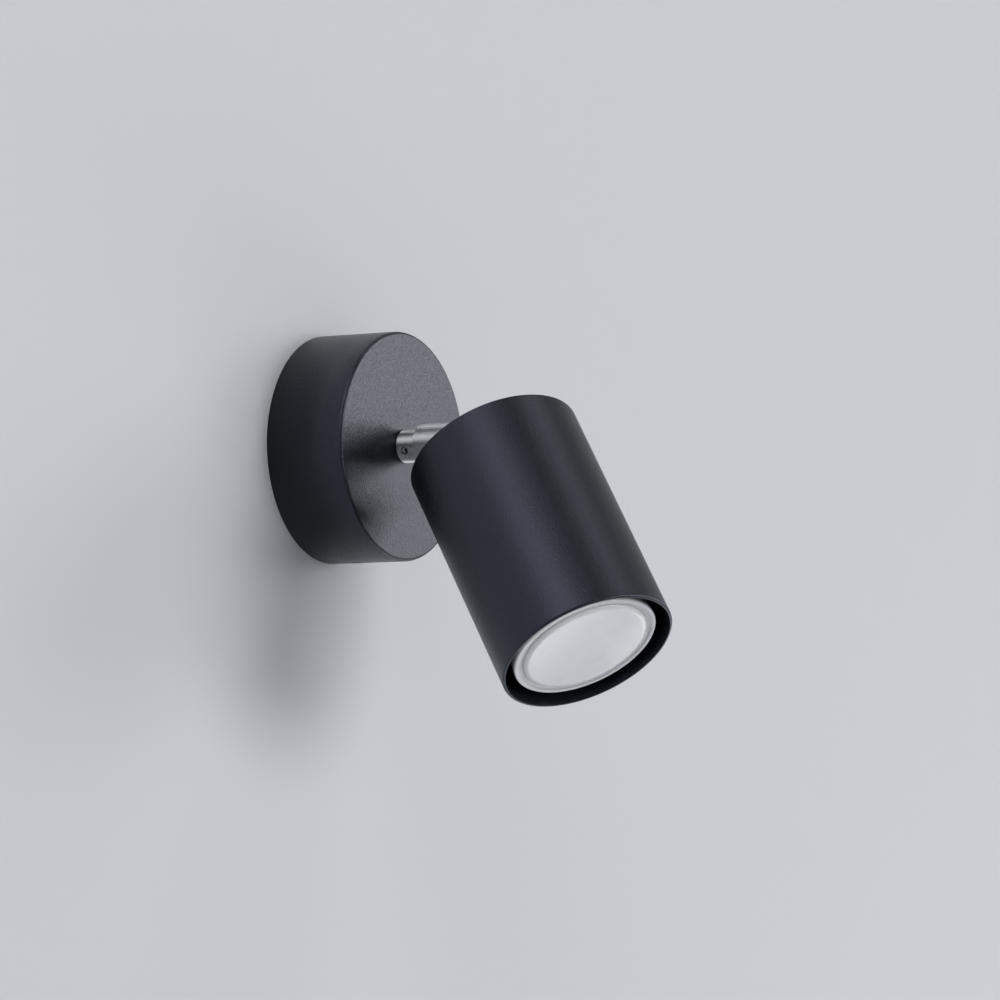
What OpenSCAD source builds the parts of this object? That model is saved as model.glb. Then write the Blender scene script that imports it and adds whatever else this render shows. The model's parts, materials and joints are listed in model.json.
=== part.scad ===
// Pivoting spotlight wall light: a round wall canopy, a hollow swivel stem and a tubular head
// that holds a push-and-turn reflector lamp.
// Lengths are in millimetres. The wall is the plane y = 0, the light stands out along -Y and +Z is up.

/* [Canopy] */
// Diameter of the round canopy
canopy_d = 78.5; // [76:0.5:100]
// Depth of the canopy, from the wall to its face
canopy_h = 30; // [29:0.5:45]
// Thickness of the canopy's drawn sheet
canopy_wall = 1.2; // [0.8:0.1:1.6]
// Radius of the edge between the canopy's face and its side
canopy_edge_r = 1.2; // [0.5:0.1:2]
// Thread diameter of the two screws that hold the canopy on its bracket
canopy_screw_d = 4; // [3:0.5:5]
// Distance from the wall to the canopy screws
canopy_screw_out = 11; // [9:0.5:14]

/* [Wall bracket] */
// Width of the bracket across the canopy
bracket_w = 40; // [39:0.5:46]
// Thickness of the bracket's sheet
bracket_t = 1.5; // [1:0.1:2]
// Width of the bracket's two upturned tabs
tab_w = 12; // [9:0.5:16]
// Distance between the middles of the two wall screw slots
slot_spacing = 50; // [46:0.5:52]
// Width of a wall screw slot
slot_w = 4.6; // [4:0.1:5.5]
// End-to-end length of a wall screw slot
slot_l = 8; // [7:0.5:10]
// Diameter of the hole that the supply cable comes through
cable_hole_d = 12; // [8:0.5:12]

/* [Terminals] */
// Distance between the ways of the terminal block
block_pitch = 8; // [7:0.5:9]
// Width of the terminal block along its wires
block_w = 16.6; // [15:0.2:17]
// Height of the terminal block above the bracket
block_h = 12.5; // [11:0.5:13]
// Outside diameter of one insulated lead
lead_d = 1.35; // [1.1:0.05:1.4]

/* [Swivel stem] */
// Diameter of the stem's neck at the canopy
neck_d = 11.4; // [11:0.1:13]
// Length of the neck
neck_l = 7.5; // [6:0.5:9]
// Diameter of the stem's barrel
barrel_d = 14.4; // [14:0.1:15]
// Distance from the canopy's face to the tilt pivot
pivot_reach = 34; // [33.5:0.5:40]
// Width of the slot between the stem's two ears
fork_slot = 8.2; // [8:0.1:8.6]
// Thread diameter of the hollow nipple that fastens the stem to the canopy
nipple_d = 8; // [7.6:0.1:8.4]
// Thread diameter of the screw that locks the nipple in the neck
set_screw_d = 3; // [2.5:0.1:3.5]
// Distance from the canopy's face to the middle of the locking screw
set_screw_out = 3.3; // [2.8:0.1:4]
// Diameter of the two tilt pivot screws
pivot_screw_d = 3; // [2.5:0.1:3.2]

/* [Head] */
// Outside diameter of the head tube
head_d = 60; // [59:0.5:64]
// Length of the head tube
head_l = 85.4; // [84:0.2:110]
// Wall thickness of the head tube
head_wall = 1; // [0.8:0.1:1.6]
// Distance from the tilt pivot to the rear rim of the head tube
head_setback = 4.1; // [4:0.1:6]
// Depth of the rear disc below the rear rim of the head tube
disc_recess = 5.5; // [5.2:0.1:8]
// Thread diameter of the knuckle's hollow stud
stud_d = 10; // [9.5:0.1:10.5]
// Height of the strap that carries the lampholder on the rear disc
strap_h = 14.55; // [13.5:0.05:16]

/* [Lamp] */
// Diameter of the lamp's face
lamp_d = 50; // [48:0.5:51]
// Length of the lamp from its base to its face, without the pins
lamp_l = 46.5; // [44:0.5:50]
// Distance between the lamp's two pins
pin_pitch = 10; // [9.8:0.1:10.2]
// Diameter of a pin's head
pin_d = 4.9; // [4.5:0.1:5]
// Length of a pin
pin_l = 7.4; // [7:0.1:8]

/* [Pose] */
// Swivel of the stem from straight down, towards -X, at rest
rest_swivel = 14.4; // [-60:0.1:60]
// Tilt of the head from straight out of the wall, downwards, at rest
rest_tilt = 56.8; // [-80:0.1:80]

/* [Hidden] */
$fn = 96;

// How far a cut runs past the face that it opens
overrun = 1;
// Radial clearance of a fit that turns
run_gap = 0.05;
// Radial clearance of a piece that is screwed, pushed or clamped in
fit_gap = 0.06;
// Gap between flat faces that slide on each other
slide_gap = 0.15;

// Canopy, measured in the wall frame: z is the distance from the wall and y is up
canopy_r = canopy_d / 2;
canopy_ri = canopy_r - canopy_wall;
face_in_z = canopy_h - canopy_wall;
screw_hole_gap = 0.2;
canopy_screw_sunk = 0.3;
canopy_screw_bite = 1.5;
hex_key_share = 0.5;
hex_key_depth = 1.8;

// Bracket
bend_r = 1;
tab_gap = 0.3;
tab_edge = 4.5;
tab_face_y = sqrt(pow(canopy_ri, 2) - pow(tab_w / 2, 2)) - tab_gap;
tab_top_z = canopy_screw_out + tab_edge;
plate_gap = 0.8;
bead_d = 1.6;
bead_inset = 3;
bead_l = 16;
bead_y = 19;

// Terminal block, with its wires along x and its ways along y
block_ways = 2;
block_edge = 1;
block_l = block_ways * block_pitch;
block_gap = 3.2;
block_x = block_w / 2 + block_gap;
block_base_share = 0.5;
tower_d = 6.4;
tower_gap = 0.9;
clamp_d = 4.2;
clamp_bore = 2.9;
clamp_l = 14;
wire_rise = 4.6;
wire_z = bracket_t + wire_rise;
clamp_screw_d = 2.6;
clamp_screw_x = clamp_l / 4;
clamp_screw_sunk = 0.8;
driver_slot_w = 0.6;
driver_slot_depth = 0.8;
block_screw_d = 3;
block_seat_web = 0.3;
block_screw_head_d = 5;
block_screw_head_h = 1.8;
block_seat_z = wire_z + clamp_d / 2 + block_seat_web;

// Earth terminal on the bracket
earth_screw_d = 4;
earth_head_d = 7;
earth_head_h = 2.4;
earth_washer_d = 8.6;
earth_washer_t = 0.8;
earth_edge = 10.5;
earth_x = earth_edge - bracket_w / 2;
earth_y = 14;
tag_t = 0.8;
tag_d = 8;
tag_neck_w = 3.4;
crimp_d = 2.6;
crimp_l = 5;
cable_hole_x = earth_x;

// Swivel stem: the nipple turns in the canopy, and everything on it turns with it
neck_r = neck_d / 2;
barrel_r = barrel_d / 2;
pivot_z = canopy_h + pivot_reach;
stem_z0 = canopy_h + slide_gap;
neck_z1 = canopy_h + neck_l;
edge_break = 0.3;
nipple_r = nipple_d / 2;
nipple_bore = 5.8;
nipple_bite = 9.5;
nipple_flat = 3.4;
nipple_tail = 2.5;
wire_bore_d = 6;
slot_root = 7.4;
friction_t = 0.8;
stop_washer_t = 1;
spring_t = 1.6;
nipple_nut_t = 3.5;
nipple_nut_af = 13;
washer_d = 16;
spring_d = 12.6;
spring_split = 1.2;
stack_z0 = face_in_z - slide_gap;
friction_z = stack_z0 - friction_t;
stop_washer_z = friction_z - stop_washer_t;
spring_z = stop_washer_z - spring_t;
nipple_nut_z = spring_z - nipple_nut_t;
nipple_z0 = nipple_nut_z - nipple_tail;
nipple_z1 = stem_z0 + nipple_bite;
stop_r = 12.2;
stop_stud_d = 3;
stop_stud_l = 3.2;
stop_foot_d = 4.4;
stop_foot_t = 0.5;
stop_tab_w = 4;
stop_tab_end = stop_r + stop_stud_d / 2 + edge_break;
set_screw_angle = 35.2;
set_screw_sunk = 0.15;
cross_w_share = 0.2;
cross_l_share = 0.72;
cross_depth = 0.7;

// Tilt joint: the knuckle's two cheeks turn between the stem's two ears, and leave the middle to the leads
tilt_washer_t = 0.3;
tilt_washer_d = 11;
tilt_washer_gap = 0.05;
knuckle_w = fork_slot - 2 * (tilt_washer_t + slide_gap);
lead_slot = 4.6;
cheek_r = 6.2;
cheek_root = 7;
flange_d = 16;
flange_z0 = 7.75;
pivot_head_d = 5.2;
pivot_head_sunk = 0.6;
pivot_head_z = barrel_r - pivot_head_sunk;
pivot_cone_h = (pivot_head_d - pivot_screw_d) / 2;
pivot_tip_gap = 0.1;
lead_gap = 0.12;
lead_pitch = lead_d + lead_gap;
lead_end_gap = 0.12;

// Head, measured in the head frame: the origin is the tilt pivot and z runs towards the front opening
head_r = head_d / 2;
head_ri = head_r - head_wall;
head_z0 = head_setback;
head_z1 = head_setback + head_l;
rim_round = 0.35;
rim_out_share = 0.8;
rim_in_share = 0.15;
disc_z = head_setback + disc_recess;
disc_t = 1.5;
disc_skirt = 7;
disc_bend_r = 1.5;
vent_count = 8;
vent_d = 5;
vent_ring_r = 20;
stud_bore = 6;
holder_strap_t = 1.2;
lock_washer_t = 0.8;
lock_washer_d = 15.4;
lock_teeth = 18;
lock_tooth_w = 0.9;
lock_tooth_l = 1.3;
stud_nut_t = 4;
stud_nut_af = 14;
stud_tail = 1;
strap_z = disc_z + disc_t;
lock_washer_z = strap_z + holder_strap_t;
stud_nut_z = lock_washer_z + lock_washer_t;
stud_end_z = stud_nut_z + stud_nut_t + stud_tail;

// Lampholder on its strap, whose top carries the lamp's base
holder_h = 15;
holder_z0 = strap_z + strap_h;
holder_z1 = holder_z0 + holder_h;
seat_z = holder_z1 + slide_gap;

// Lamp, measured in the lamp frame: its origin is the middle of the lamp's base, on the lampholder
lamp_r = lamp_d / 2;
pin_r = pin_pitch / 2;
pin_neck_d = 3.2;
pin_neck_l = 2.6;
pin_root = 4;
pin_round = 0.6;
twist_travel = 45;
lamp_base_l = 25.4;
lamp_base_w = 15.6;
lamp_base_h = 9;
lamp_base_chamfer = 1;
lamp_collar_d = 27;
lamp_collar_t = 2;
lamp_body_wall = 1.4;
lamp_foot_d = 29;
lamp_foot_h = 6;
lamp_lip_step = 0.8;
lamp_lip_d = lamp_d - 2 * lamp_lip_step;
bezel_h = 3.1;
bezel_gap = 0.1;
lamp_body_top = lamp_l - bezel_h - bezel_gap;
lamp_lip_h = 3;
lamp_shoulder_d = 42;
lamp_shoulder_share = 0.45;
fin_count = 20;
fin_t = 1.3;
fin_out = 0.9;
fin_step = 0.3;
flare_z0 = lamp_base_h + lamp_foot_h;
flare_z2 = lamp_body_top - lamp_lip_h;
flare_z1 = flare_z0 + lamp_shoulder_share * (flare_z2 - flare_z0);
flare_r0 = lamp_foot_d / 2;
flare_r1 = lamp_shoulder_d / 2;
flare_r2 = lamp_lip_d / 2 - fin_out - fin_step;
board_t = 1.2;
board_drop = 6;
board_gap = 0.3;
board_ledge = 1.2;
board_z = lamp_body_top - board_drop - board_t;
board_d = 2 * (min(flare_in(board_z), flare_r2 - lamp_body_wall) - board_gap);
chip_w = 2.8;
chip_t = 0.7;
chip_ring_shares = [0.35, 0.72];
chip_ring_counts = [4, 9];
driver_w = 18;
driver_l = 19;
driver_t = 1.2;
bezel_w = 3.1;
bezel_in_d = lamp_d - 2 * bezel_w;
bezel_top_w = 1.3;
bezel_step = 0.7;
bezel_round = 0.6;
diffuser_gap = 0.05;
diffuser_t = 1.2;
diffuser_rise = 0.5;
diffuser_edge = 1.2;
diffuser_round_w = 2.4;

// Lampholder's outline, slots and chambers
holder_l = 27;
holder_w = 17;
holder_lip = 2.2;
key_gap = 0.35;
key_hole_d = pin_d + 2 * key_gap;
key_slot_w = pin_neck_d + key_gap;
chamber_gap = 0.4;
chamber_floor_z = seat_z - pin_l - chamber_gap;
contact_t = 0.5;
contact_w = 3.6;
contact_l = 5.4;
contact_pocket_gap = 0.3;
contact_barrel_d = 2.3;
contact_barrel_l = 3.4;
holder_screw_x = 10.6;
holder_screw_d = 2.5;
holder_screw_head_d = 4.2;
holder_screw_head_h = 1.6;
holder_screw_sunk = 0.3;
holder_screw_tail = 1.2;
strap_w = 14;
strap_gap = 1.4;
strap_leg_x = holder_l / 2 + strap_gap;
strap_flange_l = 7;
strap_bend_r = 0.8;

// Earth terminal on the rear disc
head_earth_y = -20;
head_earth_screw_d = 3;
head_earth_head_d = 5.6;
head_earth_head_h = 2;
head_earth_nut_af = 5.5;
head_earth_nut_t = 2.4;
head_earth_tail = 0.8;

// Leads: number of steps along each curved stretch, and of sides round a lead
lead_steps = 14;
lead_sides = 8;
lead_out = 5;
lead_handle = 7;
earth_out = 6;
earth_handle = 6;
tag_handle = 3.8;

// Point of a cubic curve between p[0] and p[3], with handles p[1] and p[2], at share t
function cubic(p, t) =
    pow(1 - t, 3) * p[0] + 3 * t * pow(1 - t, 2) * p[1] + 3 * t * t * (1 - t) * p[2] + pow(t, 3) * p[3];

// Points of that curve, without its first point
function curve(p, n) = [for (i = [1:n]) cubic(p, i / n)];

// Inner radius of the lamp's body between its shoulder and its lip, at height z
function flare_in(z) =
    flare_r1 - lamp_body_wall + (flare_r2 - flare_r1) * (z - flare_z1) / (flare_z2 - flare_z1);

// Unit vector along v
function unit(v) = v / norm(v);

// Direction of a route at its point i
function along(route, i) =
    unit(route[min(i + 1, len(route) - 1)] - route[max(i - 1, 0)]);

// Vector square to direction d, kept near the reference n
function square_to(n, d) = unit(n - (n * d) * d);

// Frames carried along a route without twist, one square vector for each point
function carried(route, n, i = 0) =
    i >= len(route) ? [] :
    let (m = square_to(n, along(route, i)))
    concat([m], carried(route, m, i + 1));

// Round lead of diameter d along a route, as one closed mesh
module lead(route, d, start_normal) {
    normals = carried(route, start_normal);
    sides = lead_sides;
    last = len(route) - 1;
    points = [
        for (i = [0:last]) for (k = [0:sides - 1])
            let (m = normals[i], b = cross(along(route, i), m), a = 360 * k / sides)
            route[i] + d / 2 * (cos(a) * m + sin(a) * b)
    ];
    walls = [
        for (i = [0:last - 1]) for (k = [0:sides - 1])
            let (j = (k + 1) % sides)
            each [
                [i * sides + k, (i + 1) * sides + j, i * sides + j],
                [i * sides + k, (i + 1) * sides + k, (i + 1) * sides + j]
            ]
    ];
    start_cap = [for (k = [0:sides - 1]) k];
    end_cap = [for (k = [sides - 1:-1:0]) last * sides + k];
    polyhedron(points, concat(walls, [start_cap], [end_cap]));
}

// Frames: out of the wall, with the swivelled stem, with the tilted head, and with the lamp's base
module in_wall() {
    rotate([90, 0, 0]) children();
}

module in_stem() {
    in_wall() rotate([0, 0, -rest_swivel]) children();
}

module in_head() {
    in_stem() translate([0, 0, pivot_z]) rotate([rest_tilt, 0, 0]) children();
}

module in_lamp() {
    in_head() translate([0, 0, seat_z]) children();
}

// Plain turned pieces, standing on z0
module rod(d, z0, z1) {
    translate([0, 0, z0]) cylinder(d = d, h = z1 - z0);
}

module hole(d, z0, z1) {
    rod(d, z0 - overrun, z1 + overrun);
}

module blind_hole(d, z0, z1) {
    rod(d, z0, z1 + overrun);
}

module pipe(d, bore, z0, z1) {
    difference() {
        rod(d, z0, z1);
        hole(bore, z0, z1);
    }
}

// Rod with a bevel of width c at both ends
module bevelled_rod(d, z0, z1, c) {
    rotate_extrude()
        polygon([[0, z0], [d / 2 - c, z0], [d / 2, z0 + c], [d / 2, z1 - c], [d / 2 - c, z1], [0, z1]]);
}

// Six-sided nut across flats af, bevelled at both faces
module hex_nut(af, bore, z0, z1) {
    corner_d = af / cos(30);
    bevel = (corner_d - af) / 2;
    difference() {
        intersection() {
            translate([0, 0, z0]) cylinder(d = corner_d, h = z1 - z0, $fn = 6);
            bevelled_rod(corner_d, z0, z1, bevel / 2);
        }
        hole(bore, z0, z1);
    }
}

// Two crossed driver slots for a screw head of diameter d that faces +z at height z
module cross_recess(d, z) {
    for (a = [0, 90]) rotate([0, 0, a])
        translate([-d * cross_l_share / 2, -d * cross_w_share / 2, z - cross_depth])
            cube([d * cross_l_share, d * cross_w_share, cross_depth + overrun]);
}

// One straight driver slot across a screw head
module driver_slot(d, z) {
    translate([-d / 2 - overrun, -driver_slot_w / 2, z - driver_slot_depth])
        cube([d + 2 * overrun, driver_slot_w, driver_slot_depth + overrun]);
}

// Flat outline with round ends, of length l along x and width w
module stadium(l, w) {
    square([l - w, w], center = true);
    for (s = [-1, 1]) translate([s * (l - w) / 2, 0]) circle(d = w);
}

// Rectangle from the origin, with a round corner of radius r at its far x and near y
module corner_rounded(size, r) {
    difference() {
        square(size);
        translate([size[0] - r, 0]) difference() {
            square([r, r]);
            translate([0, r]) circle(r = r);
        }
    }
}

// Round wall canopy, a drawn cup that is open towards the wall
module canopy() {
    color([0.06, 0.06, 0.065]) in_wall() difference() {
        rotate_extrude() difference() {
            union() {
                square([canopy_r, canopy_h - canopy_edge_r]);
                square([canopy_r - canopy_edge_r, canopy_h]);
                translate([canopy_r - canopy_edge_r, canopy_h - canopy_edge_r]) circle(r = canopy_edge_r);
            }
            translate([0, -overrun]) square([canopy_ri, face_in_z + overrun]);
        }
        hole(nipple_d + 2 * run_gap, face_in_z, canopy_h);
        translate([0, 0, canopy_screw_out]) rotate([90, 0, 0])
            hole(canopy_screw_d + 2 * screw_hole_gap, -canopy_r, canopy_r);
    }
}

// One end of the bracket: sheet that lies on the wall and turns up into a tab
module bracket_tab() {
    outer = bend_r + bracket_t;
    rotate([90, 0, 90]) translate([0, 0, -tab_w / 2]) linear_extrude(tab_w) difference() {
        corner_rounded([tab_face_y, tab_top_z], outer);
        translate([-overrun, bracket_t])
            corner_rounded([tab_face_y - bracket_t + overrun, tab_top_z + overrun], bend_r);
    }
}

// Wall bracket, with slots for the wall screws and tapped tabs for the canopy
module wall_bracket() {
    plate_l = 2 * (tab_face_y - bend_r - bracket_t);
    color([0.72, 0.73, 0.75]) in_wall() difference() {
        union() {
            intersection() {
                translate([-bracket_w / 2, -plate_l / 2, 0]) cube([bracket_w, plate_l, bracket_t]);
                rod(2 * (canopy_ri - plate_gap), 0, bracket_t);
            }
            bracket_tab();
            mirror([0, 1, 0]) bracket_tab();
            for (s = [-1, 1]) for (t = [-1, 1]) intersection() {
                translate([s * (bracket_w / 2 - bead_inset), t * bead_y + bead_l / 2, bracket_t])
                    rotate([90, 0, 0]) rod(bead_d, 0, bead_l);
                translate([-bracket_w / 2, -bracket_w, 0])
                    cube([bracket_w, 2 * bracket_w, bracket_t + bead_d]);
            }
        }
        for (s = [-1, 1]) translate([0, s * slot_spacing / 2, -overrun])
            linear_extrude(bracket_t + 2 * overrun) rotate(90) stadium(slot_l, slot_w);
        translate([cable_hole_x, 0, 0]) hole(cable_hole_d, 0, bracket_t);
        translate([block_x, 0, 0]) hole(block_screw_d + 2 * fit_gap, 0, bracket_t);
        translate([earth_x, earth_y, 0]) hole(earth_screw_d + 2 * fit_gap, 0, bracket_t);
        translate([0, 0, canopy_screw_out]) rotate([90, 0, 0])
            hole(canopy_screw_d + 2 * fit_gap, -tab_face_y, tab_face_y);
    }
}

// Two set screws, at the top and the bottom, whose ends lie flush in the canopy's holes
module canopy_screws() {
    tip = tab_face_y - bracket_t - canopy_screw_bite;
    end = canopy_r - canopy_screw_sunk;
    color([0.1, 0.1, 0.1]) in_wall() for (s = [-1, 1])
        translate([0, 0, canopy_screw_out]) rotate([s * 90, 0, 0]) difference() {
            bevelled_rod(canopy_screw_d, tip, end, edge_break);
            translate([0, 0, end - hex_key_depth])
                cylinder(d = canopy_screw_d * hex_key_share, h = hex_key_depth + overrun, $fn = 6);
        }
}

// Stud welded inside the canopy's face, which ends the swivel's turn
module stop_stud() {
    color([0.7, 0.7, 0.72]) in_wall() translate([0, stop_r, 0]) {
        rod(stop_foot_d, face_in_z - stop_foot_t, face_in_z);
        bevelled_rod(stop_stud_d, face_in_z - stop_stud_l, face_in_z, edge_break);
    }
}

// Two-way terminal block with its screw towers
module terminal_block() {
    base_h = block_h * block_base_share;
    color([0.88, 0.88, 0.85]) in_wall() translate([block_x, 0, bracket_t]) difference() {
        union() {
            translate([-block_w / 2, -block_l / 2, 0]) cube([block_w, block_l, base_h]);
            for (way = [0:block_ways - 1]) translate([0, (way - (block_ways - 1) / 2) * block_pitch, 0]) {
                translate([-block_w / 2 + block_edge, -tower_d / 2, 0])
                    cube([block_w - 2 * block_edge, tower_d, base_h + block_edge]);
                for (s = [-1, 1]) translate([s * clamp_screw_x, 0, 0]) rod(tower_d, 0, block_h);
            }
        }
        for (way = [0:block_ways - 1]) translate([0, (way - (block_ways - 1) / 2) * block_pitch, 0]) {
            translate([0, 0, wire_z - bracket_t]) rotate([0, 90, 0])
                hole(clamp_d + 2 * fit_gap, -block_w / 2, block_w / 2);
            for (s = [-1, 1]) translate([s * clamp_screw_x, 0, 0])
                blind_hole(clamp_screw_d + 2 * tower_gap, wire_z - bracket_t, block_h);
        }
        blind_hole(block_screw_head_d + 2 * fit_gap, block_seat_z - bracket_t, block_h);
        hole(block_screw_d + 2 * fit_gap, 0, block_h);
    }
}

// Brass tubes inside the terminal block, with tapped holes for their screws
module terminal_clamps() {
    color([0.8, 0.65, 0.35]) in_wall() for (way = [0:block_ways - 1])
        translate([block_x, (way - (block_ways - 1) / 2) * block_pitch, wire_z]) difference() {
            rotate([0, 90, 0]) pipe(clamp_d, clamp_bore, -clamp_l / 2, clamp_l / 2);
            for (s = [-1, 1]) translate([s * clamp_screw_x, 0, 0])
                rod(clamp_screw_d + 2 * fit_gap, 0, clamp_d);
        }
}

// Clamping screws of the terminal block
module terminal_screws() {
    tip = wire_z + lead_d / 2 + fit_gap;
    end = bracket_t + block_h - clamp_screw_sunk;
    color([0.75, 0.75, 0.78]) in_wall() for (way = [0:block_ways - 1]) for (s = [-1, 1])
        translate([block_x + s * clamp_screw_x, (way - (block_ways - 1) / 2) * block_pitch, 0]) difference() {
            bevelled_rod(clamp_screw_d, tip, end, edge_break);
            driver_slot(clamp_screw_d, end);
        }
}

// Screw that holds the terminal block on the bracket
module block_screw() {
    color([0.75, 0.75, 0.78]) in_wall() translate([block_x, 0, 0]) difference() {
        union() {
            rod(block_screw_d, slide_gap, block_seat_z);
            bevelled_rod(block_screw_head_d, block_seat_z, block_seat_z + block_screw_head_h, edge_break);
        }
        cross_recess(block_screw_head_d, block_seat_z + block_screw_head_h);
    }
}

// Earth screw on the bracket, with its captive washer
module earth_screw() {
    seat = bracket_t + tag_t;
    top = seat + earth_washer_t + earth_head_h;
    color([0.8, 0.68, 0.4]) in_wall() translate([earth_x, earth_y, 0]) difference() {
        union() {
            rod(earth_screw_d, slide_gap, seat);
            rod(earth_washer_d, seat, seat + earth_washer_t);
            bevelled_rod(earth_head_d, seat + earth_washer_t, top, edge_break);
        }
        cross_recess(earth_head_d, top);
        driver_slot(earth_head_d, top);
    }
}

// Ring tag on its seat at z = 0, with the crimped barrel pointing along +x
module ring_tag(screw_d) {
    difference() {
        union() {
            rod(tag_d, 0, tag_t);
            translate([0, -tag_neck_w / 2, 0]) cube([tag_d / 2 + crimp_l / 2, tag_neck_w, tag_t]);
            translate([tag_d / 2 + edge_break, 0, crimp_d / 2]) rotate([0, 90, 0]) rod(crimp_d, 0, crimp_l);
        }
        hole(screw_d + 2 * fit_gap, 0, tag_t);
        translate([tag_d / 2 + edge_break, 0, crimp_d / 2]) rotate([0, 90, 0])
            hole(lead_d + 2 * fit_gap, 0, crimp_l);
    }
}

module earth_tag() {
    color([0.8, 0.78, 0.72]) in_wall() translate([earth_x, earth_y, bracket_t]) ring_tag(earth_screw_d);
}

// Places where the three leads pass the nipple's rear mouth, in the wall frame
function mouth(k, z) =
    [k * lead_pitch * cos(rest_swivel), -k * lead_pitch * sin(rest_swivel), z];

// Lead from a clamp of the terminal block to the nipple's mouth
module block_lead(way, k) {
    y = (way - (block_ways - 1) / 2) * block_pitch;
    start = [block_x - clamp_screw_x, y, wire_z];
    side = [block_x - block_w / 2, y, wire_z];
    end = mouth(k, nipple_z0 - slide_gap);
    bend = [side, side - [lead_out, 0, 0], end - [0, 0, lead_handle], end];
    in_wall() lead(concat([start, side], curve(bend, lead_steps)), lead_d, [0, 0, 1]);
}

module live_lead_base() {
    color([0.42, 0.2, 0.1]) block_lead(1, -1);
}

module neutral_lead_base() {
    color([0.1, 0.3, 0.7]) block_lead(0, 1);
}

// Earth lead from its tag on the bracket to the nipple's mouth
module earth_lead_base() {
    barrel = [earth_x + tag_d / 2 + edge_break, earth_y, bracket_t + crimp_d / 2];
    side = barrel + [crimp_l, 0, 0];
    end = mouth(0, nipple_z0 - slide_gap);
    bend = [side, side + [earth_out, 0, 0], end - [0, 0, earth_handle], end];
    color([0.35, 0.7, 0.2]) in_wall()
        lead(concat([barrel + [edge_break, 0, 0], side], curve(bend, lead_steps)), lead_d, [0, 0, 1]);
}

// Swivel stem: a plain neck, a wider barrel and two ears with round ends
module swivel_fork() {
    end_z = pivot_z + barrel_r;
    color([0.72, 0.72, 0.74]) in_stem() difference() {
        intersection() {
            rotate_extrude() polygon([
                [0, stem_z0], [neck_r - edge_break, stem_z0], [neck_r, stem_z0 + edge_break],
                [neck_r, neck_z1], [barrel_r - edge_break, neck_z1], [barrel_r, neck_z1 + edge_break],
                [barrel_r, end_z], [0, end_z]
            ]);
            union() {
                translate([-barrel_r - overrun, -barrel_r - overrun, stem_z0 - overrun])
                    cube([barrel_d + 2 * overrun, barrel_d + 2 * overrun, pivot_reach + overrun]);
                translate([0, 0, pivot_z]) rotate([0, 90, 0]) hole(barrel_d, -barrel_r, barrel_r);
            }
        }
        hole(nipple_d + 2 * fit_gap, stem_z0, nipple_z1 - overrun);
        rod(wire_bore_d, stem_z0, pivot_z);
        translate([-fork_slot / 2, -barrel_r - overrun, pivot_z - slot_root])
            cube([fork_slot, barrel_d + 2 * overrun, slot_root + barrel_d]);
        translate([0, 0, canopy_h + set_screw_out]) rotate([0, 0, 180 + set_screw_angle]) rotate([0, 90, 0])
            blind_hole(set_screw_d + 2 * fit_gap, nipple_flat, neck_r);
        for (s = [-1, 1]) translate([0, 0, pivot_z]) rotate([0, s * 90, 0]) {
            hole(pivot_screw_d + 2 * run_gap, fork_slot / 2, barrel_r);
            translate([0, 0, pivot_head_z - pivot_cone_h])
                cylinder(
                    d1 = pivot_screw_d + 2 * slide_gap,
                    d2 = pivot_head_d + 2 * slide_gap,
                    h = pivot_cone_h
                );
            blind_hole(pivot_head_d + 2 * slide_gap, pivot_head_z, barrel_r);
        }
    }
}

// Hollow threaded nipple that joins the stem to the canopy and carries the leads
module nipple() {
    color([0.8, 0.7, 0.45]) in_stem() difference() {
        bevelled_rod(nipple_d, nipple_z0, nipple_z1, edge_break);
        hole(nipple_bore, nipple_z0, nipple_z1);
        for (s = [-1, 1]) translate([s * (nipple_flat + nipple_r) - nipple_r, -nipple_r, nipple_z0 - overrun])
            cube([nipple_d, nipple_d, friction_z - nipple_z0 + overrun]);
        translate([0, 0, canopy_h + set_screw_out]) rotate([0, 0, 180 + set_screw_angle]) rotate([0, 90, 0])
            blind_hole(set_screw_d + 2 * slide_gap, nipple_flat, nipple_r);
    }
}

// Set screw with a cross recess that locks the nipple in the neck
module set_screw() {
    end = neck_r - set_screw_sunk;
    color([0.6, 0.6, 0.62]) in_stem() translate([0, 0, canopy_h + set_screw_out])
        rotate([0, 0, 180 + set_screw_angle]) rotate([0, 90, 0]) difference() {
            bevelled_rod(set_screw_d, nipple_flat, end, edge_break / 2);
            cross_recess(set_screw_d, end);
        }
}

// Fibre washer that slides on the inside of the canopy's face
module friction_washer() {
    color([0.45, 0.3, 0.2]) in_stem() pipe(washer_d, nipple_d + 2 * fit_gap, friction_z, stack_z0);
}

// Washer keyed on the nipple's flats, with the tab that meets the stop stud
module stop_washer() {
    color([0.7, 0.7, 0.72]) in_stem() difference() {
        union() {
            rod(washer_d, stop_washer_z, friction_z);
            translate([-stop_tab_w / 2, -stop_tab_end, stop_washer_z])
                cube([stop_tab_w, stop_tab_end, stop_washer_t]);
        }
        intersection() {
            hole(nipple_d + 2 * fit_gap, stop_washer_z, friction_z);
            translate([-nipple_flat - fit_gap, -nipple_d, stop_washer_z - overrun])
                cube([2 * (nipple_flat + fit_gap), 2 * nipple_d, stop_washer_t + 2 * overrun]);
        }
    }
}

// Split spring washer under the nut
module spring_washer() {
    color([0.65, 0.65, 0.67]) in_stem() difference() {
        pipe(spring_d, nipple_d + 2 * fit_gap, spring_z, stop_washer_z);
        translate([0, -spring_split / 2, spring_z - overrun])
            cube([spring_d, spring_split, spring_t + 2 * overrun]);
    }
}

module nipple_nut() {
    color([0.75, 0.75, 0.77]) in_stem()
        hex_nut(nipple_nut_af, nipple_d + 2 * fit_gap, nipple_nut_z, spring_z);
}

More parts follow.
